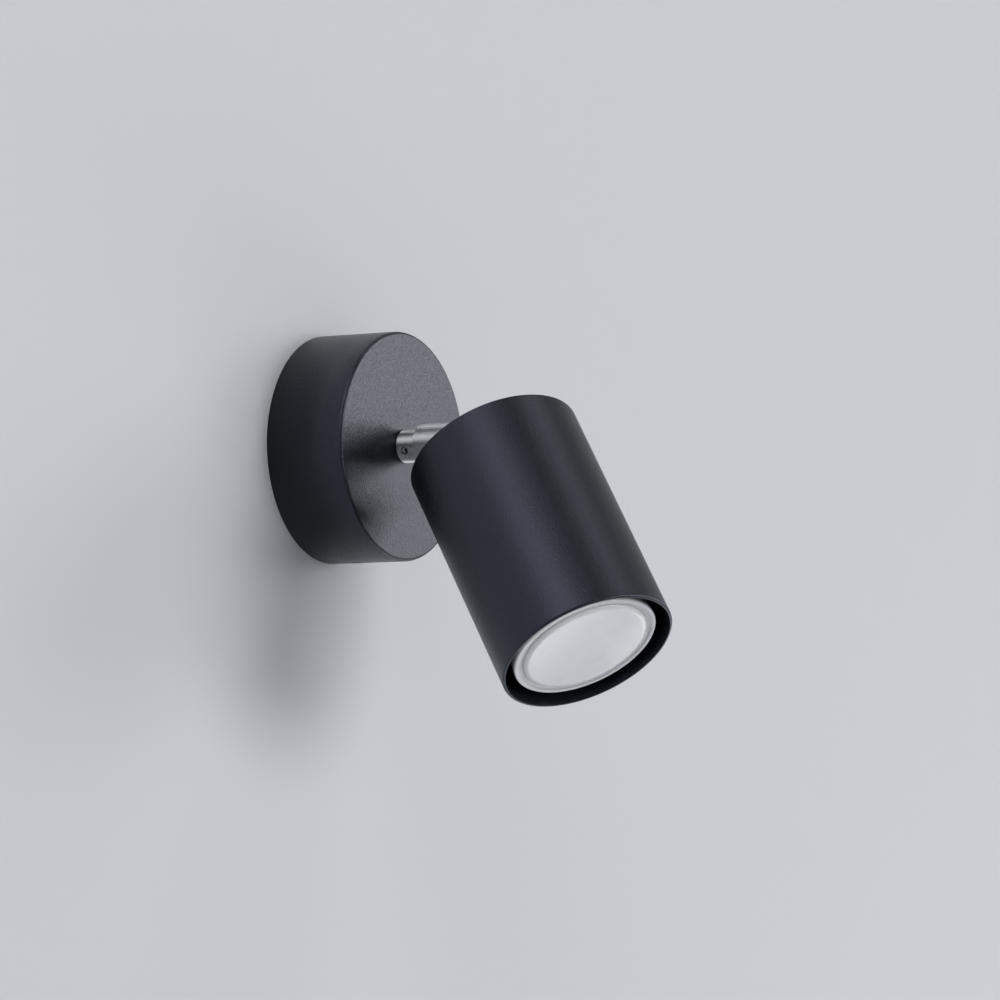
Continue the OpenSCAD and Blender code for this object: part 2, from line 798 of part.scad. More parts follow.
// Two thin washers between the stem's ears and the knuckle's cheeks
module tilt_washers() {
    color([0.85, 0.85, 0.8]) in_stem() translate([0, 0, pivot_z]) for (s = [-1, 1]) rotate([0, s * 90, 0])
        pipe(tilt_washer_d, pivot_screw_d + 2 * slide_gap,
            fork_slot / 2 - tilt_washer_gap - tilt_washer_t, fork_slot / 2 - tilt_washer_gap);
}

// Stretch of the three leads inside the stem, ending in round tips on the tilt axis
module stem_leads() {
    color([0.75, 0.72, 0.65]) in_stem() for (k = [-1:1]) translate([k * lead_pitch, 0, 0]) {
        rod(lead_d, nipple_z0, pivot_z);
        translate([0, 0, pivot_z]) sphere(d = lead_d);
    }
}

// Knuckle: two cheeks, a flange that seats on the rear disc and a hollow threaded stud
module knuckle() {
    color([0.72, 0.72, 0.74]) in_head() difference() {
        union() {
            intersection() {
                translate([-knuckle_w / 2, -cheek_r, -cheek_r])
                    cube([knuckle_w, 2 * cheek_r, cheek_r + disc_z]);
                union() {
                    rotate([0, 90, 0]) hole(2 * cheek_r, -knuckle_w / 2, knuckle_w / 2);
                    translate([-knuckle_w, -cheek_r, 0]) cube([2 * knuckle_w, 2 * cheek_r, disc_z]);
                }
            }
            bevelled_rod(flange_d, flange_z0, disc_z, edge_break);
            bevelled_rod(stud_d, flange_z0, stud_end_z, edge_break);
        }
        translate([-lead_slot / 2, -flange_d, -cheek_r - overrun])
            cube([lead_slot, 2 * flange_d, cheek_r + overrun + cheek_root]);
        blind_hole(stud_bore, cheek_root - edge_break, stud_end_z);
        for (s = [-1, 1]) rotate([0, s * 90, 0])
            hole(pivot_screw_d + 2 * fit_gap, lead_slot / 2, knuckle_w / 2);
    }
}

// Two countersunk screws that turn in the ears and are tapped into the cheeks
module pivot_screws() {
    color([0.6, 0.6, 0.62]) in_head() for (s = [-1, 1]) rotate([0, s * 90, 0]) difference() {
        rotate_extrude() polygon([
            [0, lead_slot / 2 + pivot_tip_gap], [pivot_screw_d / 2, lead_slot / 2 + pivot_tip_gap],
            [pivot_screw_d / 2, pivot_head_z - pivot_cone_h],
            [pivot_head_d / 2, pivot_head_z], [0, pivot_head_z]
        ]);
        cross_recess(pivot_head_d, pivot_head_z);
    }
}

// Drawn rear disc with a skirt that fits in the tube, and a ring of vent holes
module rear_disc() {
    r = head_ri - fit_gap;
    color([0.07, 0.07, 0.075]) in_head() difference() {
        rotate_extrude() translate([0, disc_z]) difference() {
            corner_rounded([r, disc_skirt], disc_bend_r + disc_t);
            translate([-overrun, disc_t])
                corner_rounded([r - disc_t + overrun, disc_skirt + overrun], disc_bend_r);
        }
        hole(stud_d + 2 * fit_gap, disc_z, disc_z + disc_t);
        for (i = [0:vent_count - 1]) rotate([0, 0, (i + 1 / 2) * 360 / vent_count])
            translate([vent_ring_r, 0, 0]) hole(vent_d, disc_z, disc_z + disc_t);
        translate([0, head_earth_y, 0]) hole(head_earth_screw_d + 2 * fit_gap, disc_z, disc_z + disc_t);
    }
}

// Straight head tube, whose front rim is rolled over on the outside and crisp on the inside
module head_tube() {
    out_r = rim_out_share * head_wall;
    in_r = rim_in_share * head_wall;
    color([0.06, 0.06, 0.065]) in_head() rotate_extrude() {
        translate([head_ri, head_z0 + rim_round]) square([head_wall, head_l - rim_round - out_r]);
        translate([head_ri + rim_round, head_z0]) square([head_wall - 2 * rim_round, 2 * rim_round]);
        for (x = [head_ri + rim_round, head_r - rim_round])
            translate([x, head_z0 + rim_round]) circle(r = rim_round);
        translate([head_ri, head_z1 - 2 * out_r]) square([head_wall - out_r, 2 * out_r - in_r]);
        translate([head_ri + in_r, head_z1 - 2 * in_r]) square([head_wall - out_r - in_r, 2 * in_r]);
        translate([head_ri + in_r, head_z1 - in_r]) circle(r = in_r);
        translate([head_r - out_r, head_z1 - out_r]) circle(r = out_r);
    }
}

// Strap that carries the lampholder, clamped on the disc by the knuckle's nut
module holder_bracket() {
    outer = strap_bend_r + holder_strap_t;
    color([0.74, 0.75, 0.77]) in_head() difference() {
        for (s = [0, 180]) rotate([0, 0, s]) rotate([90, 0, 0]) translate([0, 0, -strap_w / 2])
            linear_extrude(strap_w) {
                translate([0, strap_z]) difference() {
                    corner_rounded([strap_leg_x + holder_strap_t, holder_z0 - strap_z - outer], outer);
                    translate([-overrun, holder_strap_t]) corner_rounded([strap_leg_x + overrun,
                        holder_z0 - strap_z], strap_bend_r);
                }
                translate([0, holder_z0]) mirror([0, 1]) difference() {
                    translate([strap_leg_x - strap_flange_l, 0])
                        corner_rounded([strap_flange_l + holder_strap_t, outer + fit_gap], outer);
                    translate([strap_leg_x - strap_flange_l - overrun, holder_strap_t])
                        corner_rounded([strap_flange_l + overrun, outer + overrun], strap_bend_r);
                }
            }
        hole(stud_d + 2 * fit_gap, strap_z, strap_z + holder_strap_t);
        for (s = [-1, 1]) translate([s * holder_screw_x, 0, 0])
            hole(holder_screw_d + 2 * fit_gap, holder_z0 - holder_strap_t, holder_z0);
    }
}

// Lock washer with teeth round its rim
module stud_lock_washer() {
    color([0.7, 0.7, 0.72]) in_head() difference() {
        pipe(lock_washer_d, stud_d + 2 * fit_gap, lock_washer_z, stud_nut_z);
        for (i = [0:lock_teeth - 1]) rotate([0, 0, i * 360 / lock_teeth])
            translate([lock_washer_d / 2 - lock_tooth_l, -lock_tooth_w / 2, lock_washer_z - overrun])
                cube([lock_tooth_l + overrun, lock_tooth_w, lock_washer_t + 2 * overrun]);
    }
}

module stud_nut() {
    color([0.75, 0.75, 0.77]) in_head()
        hex_nut(stud_nut_af, stud_d + 2 * fit_gap, stud_nut_z, stud_nut_z + stud_nut_t);
}

// Flat outline of the path of one pin in the lampholder, of width w with an end of diameter e
module twist_path(w, e) {
    reach = pin_r + holder_w;
    intersection() {
        difference() {
            circle(r = pin_r + w / 2);
            circle(r = pin_r - w / 2);
        }
        polygon([[0, 0], [reach, 0], [reach, reach * tan(twist_travel)]]);
    }
    translate([pin_r, 0]) circle(d = w);
    rotate(twist_travel) translate([pin_r, 0]) circle(d = e);
}

// Ceramic lampholder with two keyhole slots, their chambers and the pockets for the contacts
module lampholder() {
    pocket_l = contact_l + 2 * contact_pocket_gap;
    pocket_w = contact_w + 2 * contact_pocket_gap;
    color([0.93, 0.92, 0.88]) in_head() difference() {
        translate([0, 0, holder_z0]) linear_extrude(holder_h) stadium(holder_l, holder_w);
        for (s = [0, 180]) rotate([0, 0, s]) {
            translate([0, 0, holder_z1 - holder_lip - overrun]) linear_extrude(holder_lip + 2 * overrun)
                twist_path(key_slot_w, key_hole_d);
            translate([0, 0, chamber_floor_z]) linear_extrude(holder_z1 - holder_lip - chamber_floor_z)
                twist_path(key_hole_d, key_hole_d);
            translate([pin_r - pocket_l / 2, -pocket_w / 2, holder_z0 - overrun])
                cube([pocket_l, pocket_w, chamber_floor_z - holder_z0 + 2 * overrun]);
            translate([holder_screw_x, 0, 0]) {
                hole(holder_screw_d + 2 * fit_gap, holder_z0, holder_z1);
                blind_hole(holder_screw_head_d + 2 * fit_gap,
                    holder_z1 - holder_screw_sunk - holder_screw_head_h, holder_z1);
            }
        }
    }
}

// Contact springs under the pins, each with a crimped barrel for its lead
module holder_contacts() {
    top = chamber_floor_z - fit_gap;
    color([0.8, 0.6, 0.35]) in_head() for (s = [0, 180]) rotate([0, 0, s]) translate([pin_r, 0, 0]) {
        translate([-contact_l / 2, -contact_w / 2, top - contact_t]) cube([contact_l, contact_w, contact_t]);
        translate([contact_l / 2 - contact_t, -contact_w / 2, holder_z0 + contact_barrel_l / 2])
            cube([contact_t, contact_w, top - holder_z0 - contact_barrel_l / 2]);
        translate([0, -contact_w / 2, holder_z0 + contact_barrel_l / 2])
            cube([contact_l / 2, contact_w, contact_t]);
        difference() {
            rod(contact_barrel_d, holder_z0, holder_z0 + contact_barrel_l);
            rod(lead_d + 2 * fit_gap, holder_z0 - overrun, holder_z0 + contact_barrel_l / 2);
        }
    }
}

// Two screws through the lampholder into the strap
module holder_screws() {
    head_z = holder_z1 - holder_screw_sunk - holder_screw_head_h;
    color([0.75, 0.75, 0.78]) in_head() for (s = [-1, 1]) translate([s * holder_screw_x, 0, 0]) difference() {
        union() {
            rod(holder_screw_d, holder_z0 - holder_strap_t - holder_screw_tail, head_z);
            bevelled_rod(holder_screw_head_d, head_z, head_z + holder_screw_head_h, edge_break);
        }
        cross_recess(holder_screw_head_d, head_z + holder_screw_head_h);
    }
}

// Earth tag on the inside of the rear disc, with its barrel towards the stud
module head_earth_tag() {
    color([0.8, 0.78, 0.72]) in_head() translate([0, head_earth_y, strap_z]) rotate([0, 0, 90])
        ring_tag(head_earth_screw_d);
}

module head_earth_screw() {
    seat = strap_z + tag_t;
    top = seat + head_earth_head_h;
    color([0.8, 0.68, 0.4]) in_head() translate([0, head_earth_y, 0]) difference() {
        union() {
            rod(head_earth_screw_d, disc_z - head_earth_nut_t - head_earth_tail, seat);
            bevelled_rod(head_earth_head_d, seat, top, edge_break);
        }
        cross_recess(head_earth_head_d, top);
    }
}

module head_earth_nut() {
    color([0.75, 0.75, 0.77]) in_head() translate([0, head_earth_y, 0])
        hex_nut(head_earth_nut_af, head_earth_screw_d + 2 * fit_gap, disc_z - head_earth_nut_t, disc_z);
}

// Lead from the tilt axis through the stud to one contact of the lampholder
module contact_lead(k) {
    start = [k * lead_pitch, 0, lead_d / 2 + lead_end_gap];
    out = [k * lead_pitch, 0, stud_end_z];
    end = [k * pin_r, 0, holder_z0];
    half = (holder_z0 - stud_end_z) / 2;
    bend = [out, out + [0, 0, half], end - [0, 0, half], end];
    inside = end + [0, 0, contact_barrel_l / 2 - edge_break];
    in_head() lead(concat([start, out], curve(bend, lead_steps), [inside]), lead_d, [0, 1, 0]);
}

module live_lead_head() {
    color([0.42, 0.2, 0.1]) contact_lead(-1);
}

module neutral_lead_head() {
    color([0.1, 0.3, 0.7]) contact_lead(1);
}

// Earth lead from the tilt axis, over the stud's end and down to the tag on the disc
module earth_lead_head() {
    start = [0, 0, lead_d / 2 + lead_end_gap];
    out = [0, 0, stud_end_z];
    over_z = (stud_end_z + holder_z0) / 2;
    rise = over_z - stud_end_z;
    edge_y = -stud_nut_af / 2;
    over = [0, edge_y, over_z];
    entry = [0, head_earth_y + tag_d / 2 + edge_break + crimp_l, strap_z + crimp_d / 2];
    inside = entry - [0, crimp_l - edge_break, 0];
    up = [out, out + [0, 0, rise], over + [0, rise, 0], over];
    down = [over, over - [0, rise, 0], entry + [0, tag_handle, 0], entry];
    color([0.35, 0.7, 0.2]) in_head()
        lead(
            concat([start, out], curve(up, lead_steps), curve(down, lead_steps), [inside]),
            lead_d, [1, 0, 0]
        );
}

// Base of the lamp: a block with round ends, and a collar that fits the body
module lamp_base() {
    color([0.93, 0.93, 0.92]) in_lamp() difference() {
        union() {
            translate([0, 0, lamp_base_chamfer]) linear_extrude(lamp_base_h - lamp_base_chamfer)
                stadium(lamp_base_l, lamp_base_w);
            linear_extrude(lamp_base_chamfer + fit_gap)
                stadium(lamp_base_l - 2 * lamp_base_chamfer, lamp_base_w - 2 * lamp_base_chamfer);
            rod(lamp_collar_d, lamp_base_h - lamp_collar_t, lamp_base_h);
        }
        for (s = [-1, 1]) translate([s * pin_r, 0, 0]) rod(pin_neck_d + 2 * fit_gap, -overrun, pin_root);
    }
}

// Two pins with waisted necks, which turn into the lampholder's slots
module lamp_pins() {
    color([0.78, 0.76, 0.7]) in_lamp() for (s = [-1, 1]) translate([s * pin_r, 0, 0]) {
        rod(pin_neck_d, -pin_neck_l, pin_root);
        rotate_extrude() polygon([
            [0, -pin_l], [pin_d / 2 - pin_round, -pin_l], [pin_d / 2, -pin_l + pin_round],
            [pin_d / 2, -pin_neck_l - pin_round], [pin_neck_d / 2, -pin_neck_l], [0, -pin_neck_l]
        ]);
    }
}

// Flared lamp body in two cones under a plain lip, with cooling fins that run into the lip and a
// ledge inside for the chip board
module lamp_body() {
    seat_r = lamp_collar_d / 2 + fit_gap;
    wall = lamp_body_wall;
    color([0.92, 0.92, 0.91]) in_lamp() {
        rotate_extrude() polygon([
            [seat_r, lamp_base_h - lamp_collar_t], [flare_r0, lamp_base_h - lamp_collar_t],
            [flare_r0, flare_z0], [flare_r1, flare_z1], [flare_r2, flare_z2],
            [lamp_lip_d / 2, flare_z2], [lamp_lip_d / 2, lamp_body_top], [flare_r2 - wall, lamp_body_top],
            [flare_r2 - wall, flare_z2], [flare_in(board_z), board_z],
            [flare_in(board_z) - board_ledge, board_z],
            [flare_r1 - wall, flare_z1], [flare_r0 - wall, flare_z0],
            [flare_r0 - wall, lamp_base_h + fit_gap], [seat_r, lamp_base_h + fit_gap]
        ]);
        for (i = [0:fin_count - 1]) rotate([0, 0, i * 360 / fin_count]) rotate([90, 0, 0])
            translate([0, 0, -fin_t / 2]) linear_extrude(fin_t) polygon([
                [flare_r0 - wall / 2, flare_z0], [flare_r1 + fin_out, flare_z1],
                [flare_r2 + fin_out, flare_z2 + fin_step], [flare_r2 - wall / 2, flare_z2 + fin_step],
                [flare_r1 - wall / 2, flare_z1]
            ]);
    }
}

// Round board for the light chips
module led_board() {
    color([0.85, 0.87, 0.86]) in_lamp()
        rod(board_d, board_z, board_z + board_t);
}

// Light chips in rings on their board
module led_chips() {
    color([0.95, 0.85, 0.35]) in_lamp() translate([0, 0, board_z + board_t])
        for (ring = [0:len(chip_ring_counts) - 1]) for (i = [0:chip_ring_counts[ring] - 1])
            rotate([0, 0, i * 360 / chip_ring_counts[ring]])
                translate([chip_ring_shares[ring] * board_d / 2 - chip_w / 2, -chip_w / 2, 0])
                    cube([chip_w, chip_w, chip_t]);
}

// Driver board that stands in the lamp's foot
module driver_board() {
    color([0.2, 0.45, 0.25]) in_lamp() translate([-driver_w / 2, -driver_t / 2, lamp_base_h])
        cube([driver_w, driver_t, driver_l]);
}

module driver_parts() {
    cap_d = driver_w / 3;
    choke = driver_w / 4;
    z = lamp_base_h + driver_l / 2;
    color([0.15, 0.15, 0.2]) in_lamp() {
        translate([-choke, driver_t / 2, z]) rotate([-90, 0, 0]) rod(cap_d, 0, cap_d);
        translate([choke / 2, driver_t / 2, z - choke]) cube([choke, choke, 2 * choke]);
        translate([-choke, -driver_t / 2 - choke, z - choke]) cube([2 * choke, choke, choke]);
    }
}

// Ring round the lamp's face, with a rounded rim and a step down to the diffuser
module lamp_bezel() {
    r = lamp_r;
    z0 = lamp_l - bezel_h;
    color([0.9, 0.9, 0.9]) in_lamp() rotate_extrude() difference() {
        union() {
            translate([bezel_in_d / 2, z0]) square([r - bezel_in_d / 2, bezel_h - bezel_round]);
            translate([bezel_in_d / 2, z0]) square([r - bezel_round - bezel_in_d / 2, bezel_h]);
            translate([r - bezel_round, lamp_l - bezel_round]) circle(r = bezel_round);
        }
        translate([bezel_in_d / 2 - overrun, lamp_l - bezel_step])
            square([r - bezel_top_w - bezel_in_d / 2 + overrun, bezel_step + overrun]);
    }
}

// Milky diffuser: a disc with a raised round edge and a faint dome
module lamp_diffuser() {
    r = bezel_in_d / 2 - diffuser_gap;
    top = lamp_l - bezel_step + diffuser_edge;
    color([0.93, 0.93, 0.94]) in_lamp() rotate_extrude() polygon(concat(
        [[0, top - diffuser_edge - diffuser_t], [r, top - diffuser_edge - diffuser_t]],
        [for (i = [0:lead_sides]) let (a = 90 * i / lead_sides)
            [r - diffuser_round_w * (1 - cos(a)), top - diffuser_edge * (1 - sin(a))]],
        [for (i = [lead_sides - 1:-1:0]) let (t = i / lead_sides)
            [(r - diffuser_round_w) * t, top + diffuser_rise * (1 - t * t)]]
    ));
}

canopy();
wall_bracket();
canopy_screws();
stop_stud();
terminal_block();
terminal_clamps();
terminal_screws();
block_screw();
earth_screw();
earth_tag();
live_lead_base();
neutral_lead_base();
earth_lead_base();
swivel_fork();
nipple();
set_screw();
friction_washer();
stop_washer();
spring_washer();
nipple_nut();
tilt_washers();
stem_leads();
knuckle();
pivot_screws();
rear_disc();
head_tube();
holder_bracket();
stud_lock_washer();
stud_nut();
lampholder();
holder_contacts();
holder_screws();
head_earth_tag();
head_earth_screw();
head_earth_nut();
live_lead_head();
neutral_lead_head();
earth_lead_head();
lamp_base();
lamp_pins();
lamp_body();
led_board();
led_chips();
driver_board();
driver_parts();
lamp_bezel();
lamp_diffuser();
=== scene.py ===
"""Looks of a pivoting spotlight wall light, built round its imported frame.

All lengths are in metres in the part's own frame: the wall is the plane y = 0, the light stands out
along -Y and +Z is up. Places come from the frame's nodes and joints wherever these hold them.
"""

import json
import logging
import math
from dataclasses import dataclass, field
from enum import Enum
from typing import Any, Mapping, Sequence

import bmesh
import bpy
from mathutils import Matrix, Vector


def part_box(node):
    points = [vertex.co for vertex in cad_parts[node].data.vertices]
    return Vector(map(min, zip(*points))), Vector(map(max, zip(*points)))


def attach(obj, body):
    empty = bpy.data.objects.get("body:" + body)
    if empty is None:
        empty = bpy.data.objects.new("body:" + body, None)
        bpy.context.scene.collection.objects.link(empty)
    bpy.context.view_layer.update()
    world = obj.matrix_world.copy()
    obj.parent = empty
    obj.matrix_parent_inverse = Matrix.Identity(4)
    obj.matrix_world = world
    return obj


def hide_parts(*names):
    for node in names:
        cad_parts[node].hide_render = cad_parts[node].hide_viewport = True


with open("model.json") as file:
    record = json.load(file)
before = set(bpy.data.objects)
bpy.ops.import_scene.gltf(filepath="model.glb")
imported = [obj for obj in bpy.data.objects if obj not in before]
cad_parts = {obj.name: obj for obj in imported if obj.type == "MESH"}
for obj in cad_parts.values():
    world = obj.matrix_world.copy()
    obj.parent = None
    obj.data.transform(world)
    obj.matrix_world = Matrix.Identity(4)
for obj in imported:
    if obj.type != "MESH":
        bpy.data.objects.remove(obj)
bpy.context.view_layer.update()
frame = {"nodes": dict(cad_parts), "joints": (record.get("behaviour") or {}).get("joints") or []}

MM = 0.001
LOG = logging.getLogger("wall_light")

# Uneven patterns: their octaves, how strong the finer octaves are, and the middle part of their values
SOFT_OCTAVES = 1.0
FINE_OCTAVES = 2.0
CLOUD_OCTAVES = 3.0
NOISE_ROUGHNESS = 0.6
MIDDLE = (0.3, 0.7)

# Turned marks: how much longer than wide they are, and the quarter turn that draws the gloss across them
ROUND_STRETCH = 60.0
ACROSS_MARKS = 0.25

# Red, green and blue light go equally far under a moulded skin
EVEN_REACH = (1.0, 1.0, 1.0)

# Smoothed copies: merging distance in metres, angles in degrees, and the weight of large faces
MERGE = 1e-6
FLAT_DEG = 0.5
SMOOTH_DEG = 35.0
EDGE_DEG = 40.0
EDGE_SEGMENTS = 2
EVEN_WEIGHT = 90

# Stage: width of the camera's sensor, and the point that the panels face, between canopy and head
SENSOR_MM = 36.0
PANEL_AIM = Vector((0, -0.07, 0))


class Body(Enum):
    """Moving bodies that pieces ride on."""

    BASE = "base"
    STEM = "stem"
    HEAD = "head"
    LAMP = "lamp"


class Lay(Enum):
    """Direction that the marks of a metal's finishing run in."""

    ROUND_STEM = "round_stem"
    ROUND_HEAD = "round_head"
    NONE = "none"


def linear(hex_colour: str) -> tuple[float, float, float, float]:
    """Turns an sRGB hex colour into Blender's linear colour.

    Args:
        hex_colour: six hex digits.

    Returns:
        the linear red, green and blue of the opaque colour, and its alpha.
    """
    values = [int(hex_colour[i : i + 2], 16) / 255 for i in (0, 2, 4)]
    red, green, blue = (v / 12.92 if v <= 0.04045 else ((v + 0.055) / 1.055) ** 2.4 for v in values)
    return red, green, blue, 1.0


def add(
    tree: bpy.types.NodeTree,
    kind: str,
    inputs: Mapping[Any, Any] | None = None,
    **settings: Any,
) -> bpy.types.Node:
    """Adds one node with its settings and links.

    Args:
        tree: node tree that gets the node.
        kind: Blender's name for the kind of node.
        inputs: for each input's name or index, a value or the output socket that feeds it.
        settings: values of the node's own properties.

    Returns:
        the new node.
    """
    made = tree.nodes.new(kind)
    for name, value in settings.items():
        setattr(made, name, value)
    for key, value in (inputs or {}).items():
        if isinstance(value, bpy.types.NodeSocket):
            tree.links.new(value, made.inputs[key])
        else:
            made.inputs[key].default_value = value
    return made


def joint(name: str) -> Mapping[str, Any]:
    """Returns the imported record's joint of that name."""
    return next(j for j in frame["joints"] if j["name"] == name)


@dataclass(frozen=True)
class Axes:
    """Right-handed frame of a turned sub-assembly.

    Attributes:
        origin: its origin.
        x: direction of its x axis.
        z: direction of its z axis.
    """

    origin: Vector
    x: Vector
    z: Vector

    @property
    def matrix(self) -> Matrix:
        """Matrix that takes points of this frame into the part's frame.

        Returns:
            the matrix.
        """
        z = self.z.normalized()
        x = (self.x - self.x.dot(z) * z).normalized()
        y = z.cross(x)
        turned = Matrix((x, y, z)).transposed().to_4x4()
        return Matrix.Translation(self.origin) @ turned


PIVOT = Vector(joint("head_tilt")["pos_m"])
TILT_AXIS = Vector(joint("head_tilt")["axis"])
HEAD_AXIS = Vector(joint("lamp_twist")["axis"])
STEM_AXES = Axes(Vector((0, 0, 0)), TILT_AXIS, Vector((0, -1, 0)))
HEAD_AXES = Axes(PIVOT, TILT_AXIS, HEAD_AXIS)


def empty_material(name: str) -> tuple[bpy.types.Material, bpy.types.NodeTree]:
    """Makes a material without nodes.

    Args:
        name: the material's name.

    Returns:
        the material and its node tree.
    """
    material = bpy.data.materials.new(name)
    material.use_nodes = True
    material.node_tree.nodes.clear()
    return material, material.node_tree


@dataclass(frozen=True)
class Finish:
    """Surface of one real material and how it was made.

    Attributes:
        name: common name of the material and its process.
        colour: sRGB hex colour.
        roughness: mean roughness.
        metallic: 1 for a bare metal, or else 0.
        gloss_span: how far the roughness goes below and above its mean.
    """

    name: str
    colour: str
    roughness: float
    metallic: float = 0.0
    gloss_span: tuple[float, float] = (-0.05, 0.05)

    def build(self) -> bpy.types.Material:
        """Makes the material.

        Returns:
            the material with its node tree.
        """
        material, tree = empty_material(self.name)
        even = {
            "Base Color": linear(self.colour),
            "Roughness": self.roughness,
            "Metallic": self.metallic,
        }
        shader = add(tree, "ShaderNodeBsdfPrincipled", even)
        add(tree, "ShaderNodeOutputMaterial", {"Surface": shader.outputs["BSDF"]})
        place = add(tree, "ShaderNodeTexCoord").outputs["Object"]
        self.dress(tree, shader, place)
        return material

    def dress(self, tree: bpy.types.NodeTree, shader: bpy.types.Node, place: bpy.types.NodeSocket) -> None:
        """Adds the finish's own pattern; a plain finish has none.

        Args:
            tree: node tree that gets the nodes.
            shader: the surface shader.
            place: coordinates in metres.
        """

    def pattern(
        self,
        tree: bpy.types.NodeTree,
        place: bpy.types.NodeSocket,
        size_mm: float,
        octaves: float = FINE_OCTAVES,
    ) -> bpy.types.NodeSocket:
        """Adds an uneven pattern of a real size.

        Args:
            tree: node tree that gets it.
            place: coordinates in metres.
            size_mm: size of one grain in millimetres.
            octaves: how many times finer grain is laid over it.

        Returns:
            the pattern's value.
        """
        inputs = {
            "Vector": place,
            "Scale": 1 / (size_mm * MM),
            "Detail": octaves,
            "Roughness": NOISE_ROUGHNESS,
        }
        return add(tree, "ShaderNodeTexNoise", inputs).outputs["Fac"]

    def vary_gloss(
        self, tree: bpy.types.NodeTree, shader: bpy.types.Node, value: bpy.types.NodeSocket
    ) -> None:
        """Makes the roughness follow a pattern.

        Args:
            tree: node tree that gets the node.
            shader: the surface shader.
            value: the pattern's value.
        """
        inputs = {
            "Value": value,
            "From Min": MIDDLE[0],
            "From Max": MIDDLE[1],
            "To Min": self.roughness + self.gloss_span[0],
            "To Max": self.roughness + self.gloss_span[1],
        }
        gloss = add(tree, "ShaderNodeMapRange", inputs).outputs["Result"]
        tree.links.new(gloss, shader.inputs["Roughness"])

    def vary_colour(
        self,
        tree: bpy.types.NodeTree,
        shader: bpy.types.Node,
        value: bpy.types.NodeSocket,
        ends: tuple[str, str],
        span: tuple[float, float] = MIDDLE,
    ) -> None:
        """Makes the colour follow a pattern.

        Args:
            tree: node tree that gets the node.
            shader: the surface shader.
            value: the pattern's value.
            ends: sRGB hex colours at the low and the high end.
            span: part of the pattern's values that is spread between them.
        """
        ramp = add(tree, "ShaderNodeValToRGB", {"Fac": value})
        for element, position, colour in zip(ramp.color_ramp.elements, span, ends):
            element.position = position
            element.color = linear(colour)
        tree.links.new(ramp.outputs["Color"], shader.inputs["Base Color"])

    def bump(
        self,
        tree: bpy.types.NodeTree,
        shader: bpy.types.Node,
        heights: Sequence[tuple[bpy.types.NodeSocket, float]],
    ) -> None:
        """Gives the shader a bumpy surface.

        Args:
            tree: node tree that gets the nodes.
            shader: the surface shader.
            heights: patterns, each with its height in millimetres.
        """
        normal: bpy.types.NodeSocket | None = None
        for value, height_mm in heights:
            inputs: dict[str, Any] = {"Height": value, "Distance": height_mm * MM}
            if normal is not None:
                inputs["Normal"] = normal
            normal = add(tree, "ShaderNodeBump", inputs).outputs["Normal"]
        if normal is not None:
            tree.links.new(normal, shader.inputs["Normal"])


@dataclass(frozen=True)
class PowderCoat(Finish):
    """Sprayed and baked polyester powder on steel sheet.

    The grain of the real coat is about 0.2 mm wide and 0.01 mm high. It is drawn coarser and higher
    here, so that it shows from where the whole light is seen.

    Attributes:
        grain_mm: size of the powder's fine grain.
        grain_height_mm: height of that grain.
        peel_mm: size of the soft waves that the melted powder leaves.
        peel_height_mm: height of those waves.
        light: sRGB hex colour painted on the grain's raised tops, a painted glint.
        painted_glint_span: part of the grain's values that goes from its colour to that painted glint.
        sheen: strength of its surface reflection.
        sheen_colour: sRGB hex colour of that reflection, the blue cast of carbon black.
    """

    gloss_span: tuple[float, float] = (-0.05, 0.06)
    grain_mm: float = 0.62
    grain_height_mm: float = 0.12
    peel_mm: float = 2.4
    peel_height_mm: float = 0.008
    # Colour of the grain's raised tops, lighter than the coat: a painted glint
    light: str = "13141a"
    painted_glint_span: tuple[float, float] = (0.4, 0.75)
    sheen: float = 0.68
    sheen_colour: str = "dde3ff"

    def dress(self, tree: bpy.types.NodeTree, shader: bpy.types.Node, place: bpy.types.NodeSocket) -> None:
        """Adds the grain with a painted glint on its raised tops, the soft waves and their gloss.

        Args:
            tree: node tree that gets the nodes.
            shader: the surface shader.
            place: coordinates in metres.
        """
        grain = self.pattern(tree, place, self.grain_mm)
        peel = self.pattern(tree, place, self.peel_mm, SOFT_OCTAVES)
        # Painted glint: the grain's raised tops are coloured lighter than the coat
        self.vary_colour(tree, shader, grain, (self.colour, self.light), self.painted_glint_span)
        self.vary_gloss(tree, shader, grain)
        shader.inputs["Specular IOR Level"].default_value = self.sheen
        shader.inputs["Specular Tint"].default_value = linear(self.sheen_colour)
        self.bump(tree, shader, [(peel, self.peel_height_mm), (grain, self.grain_height_mm)])


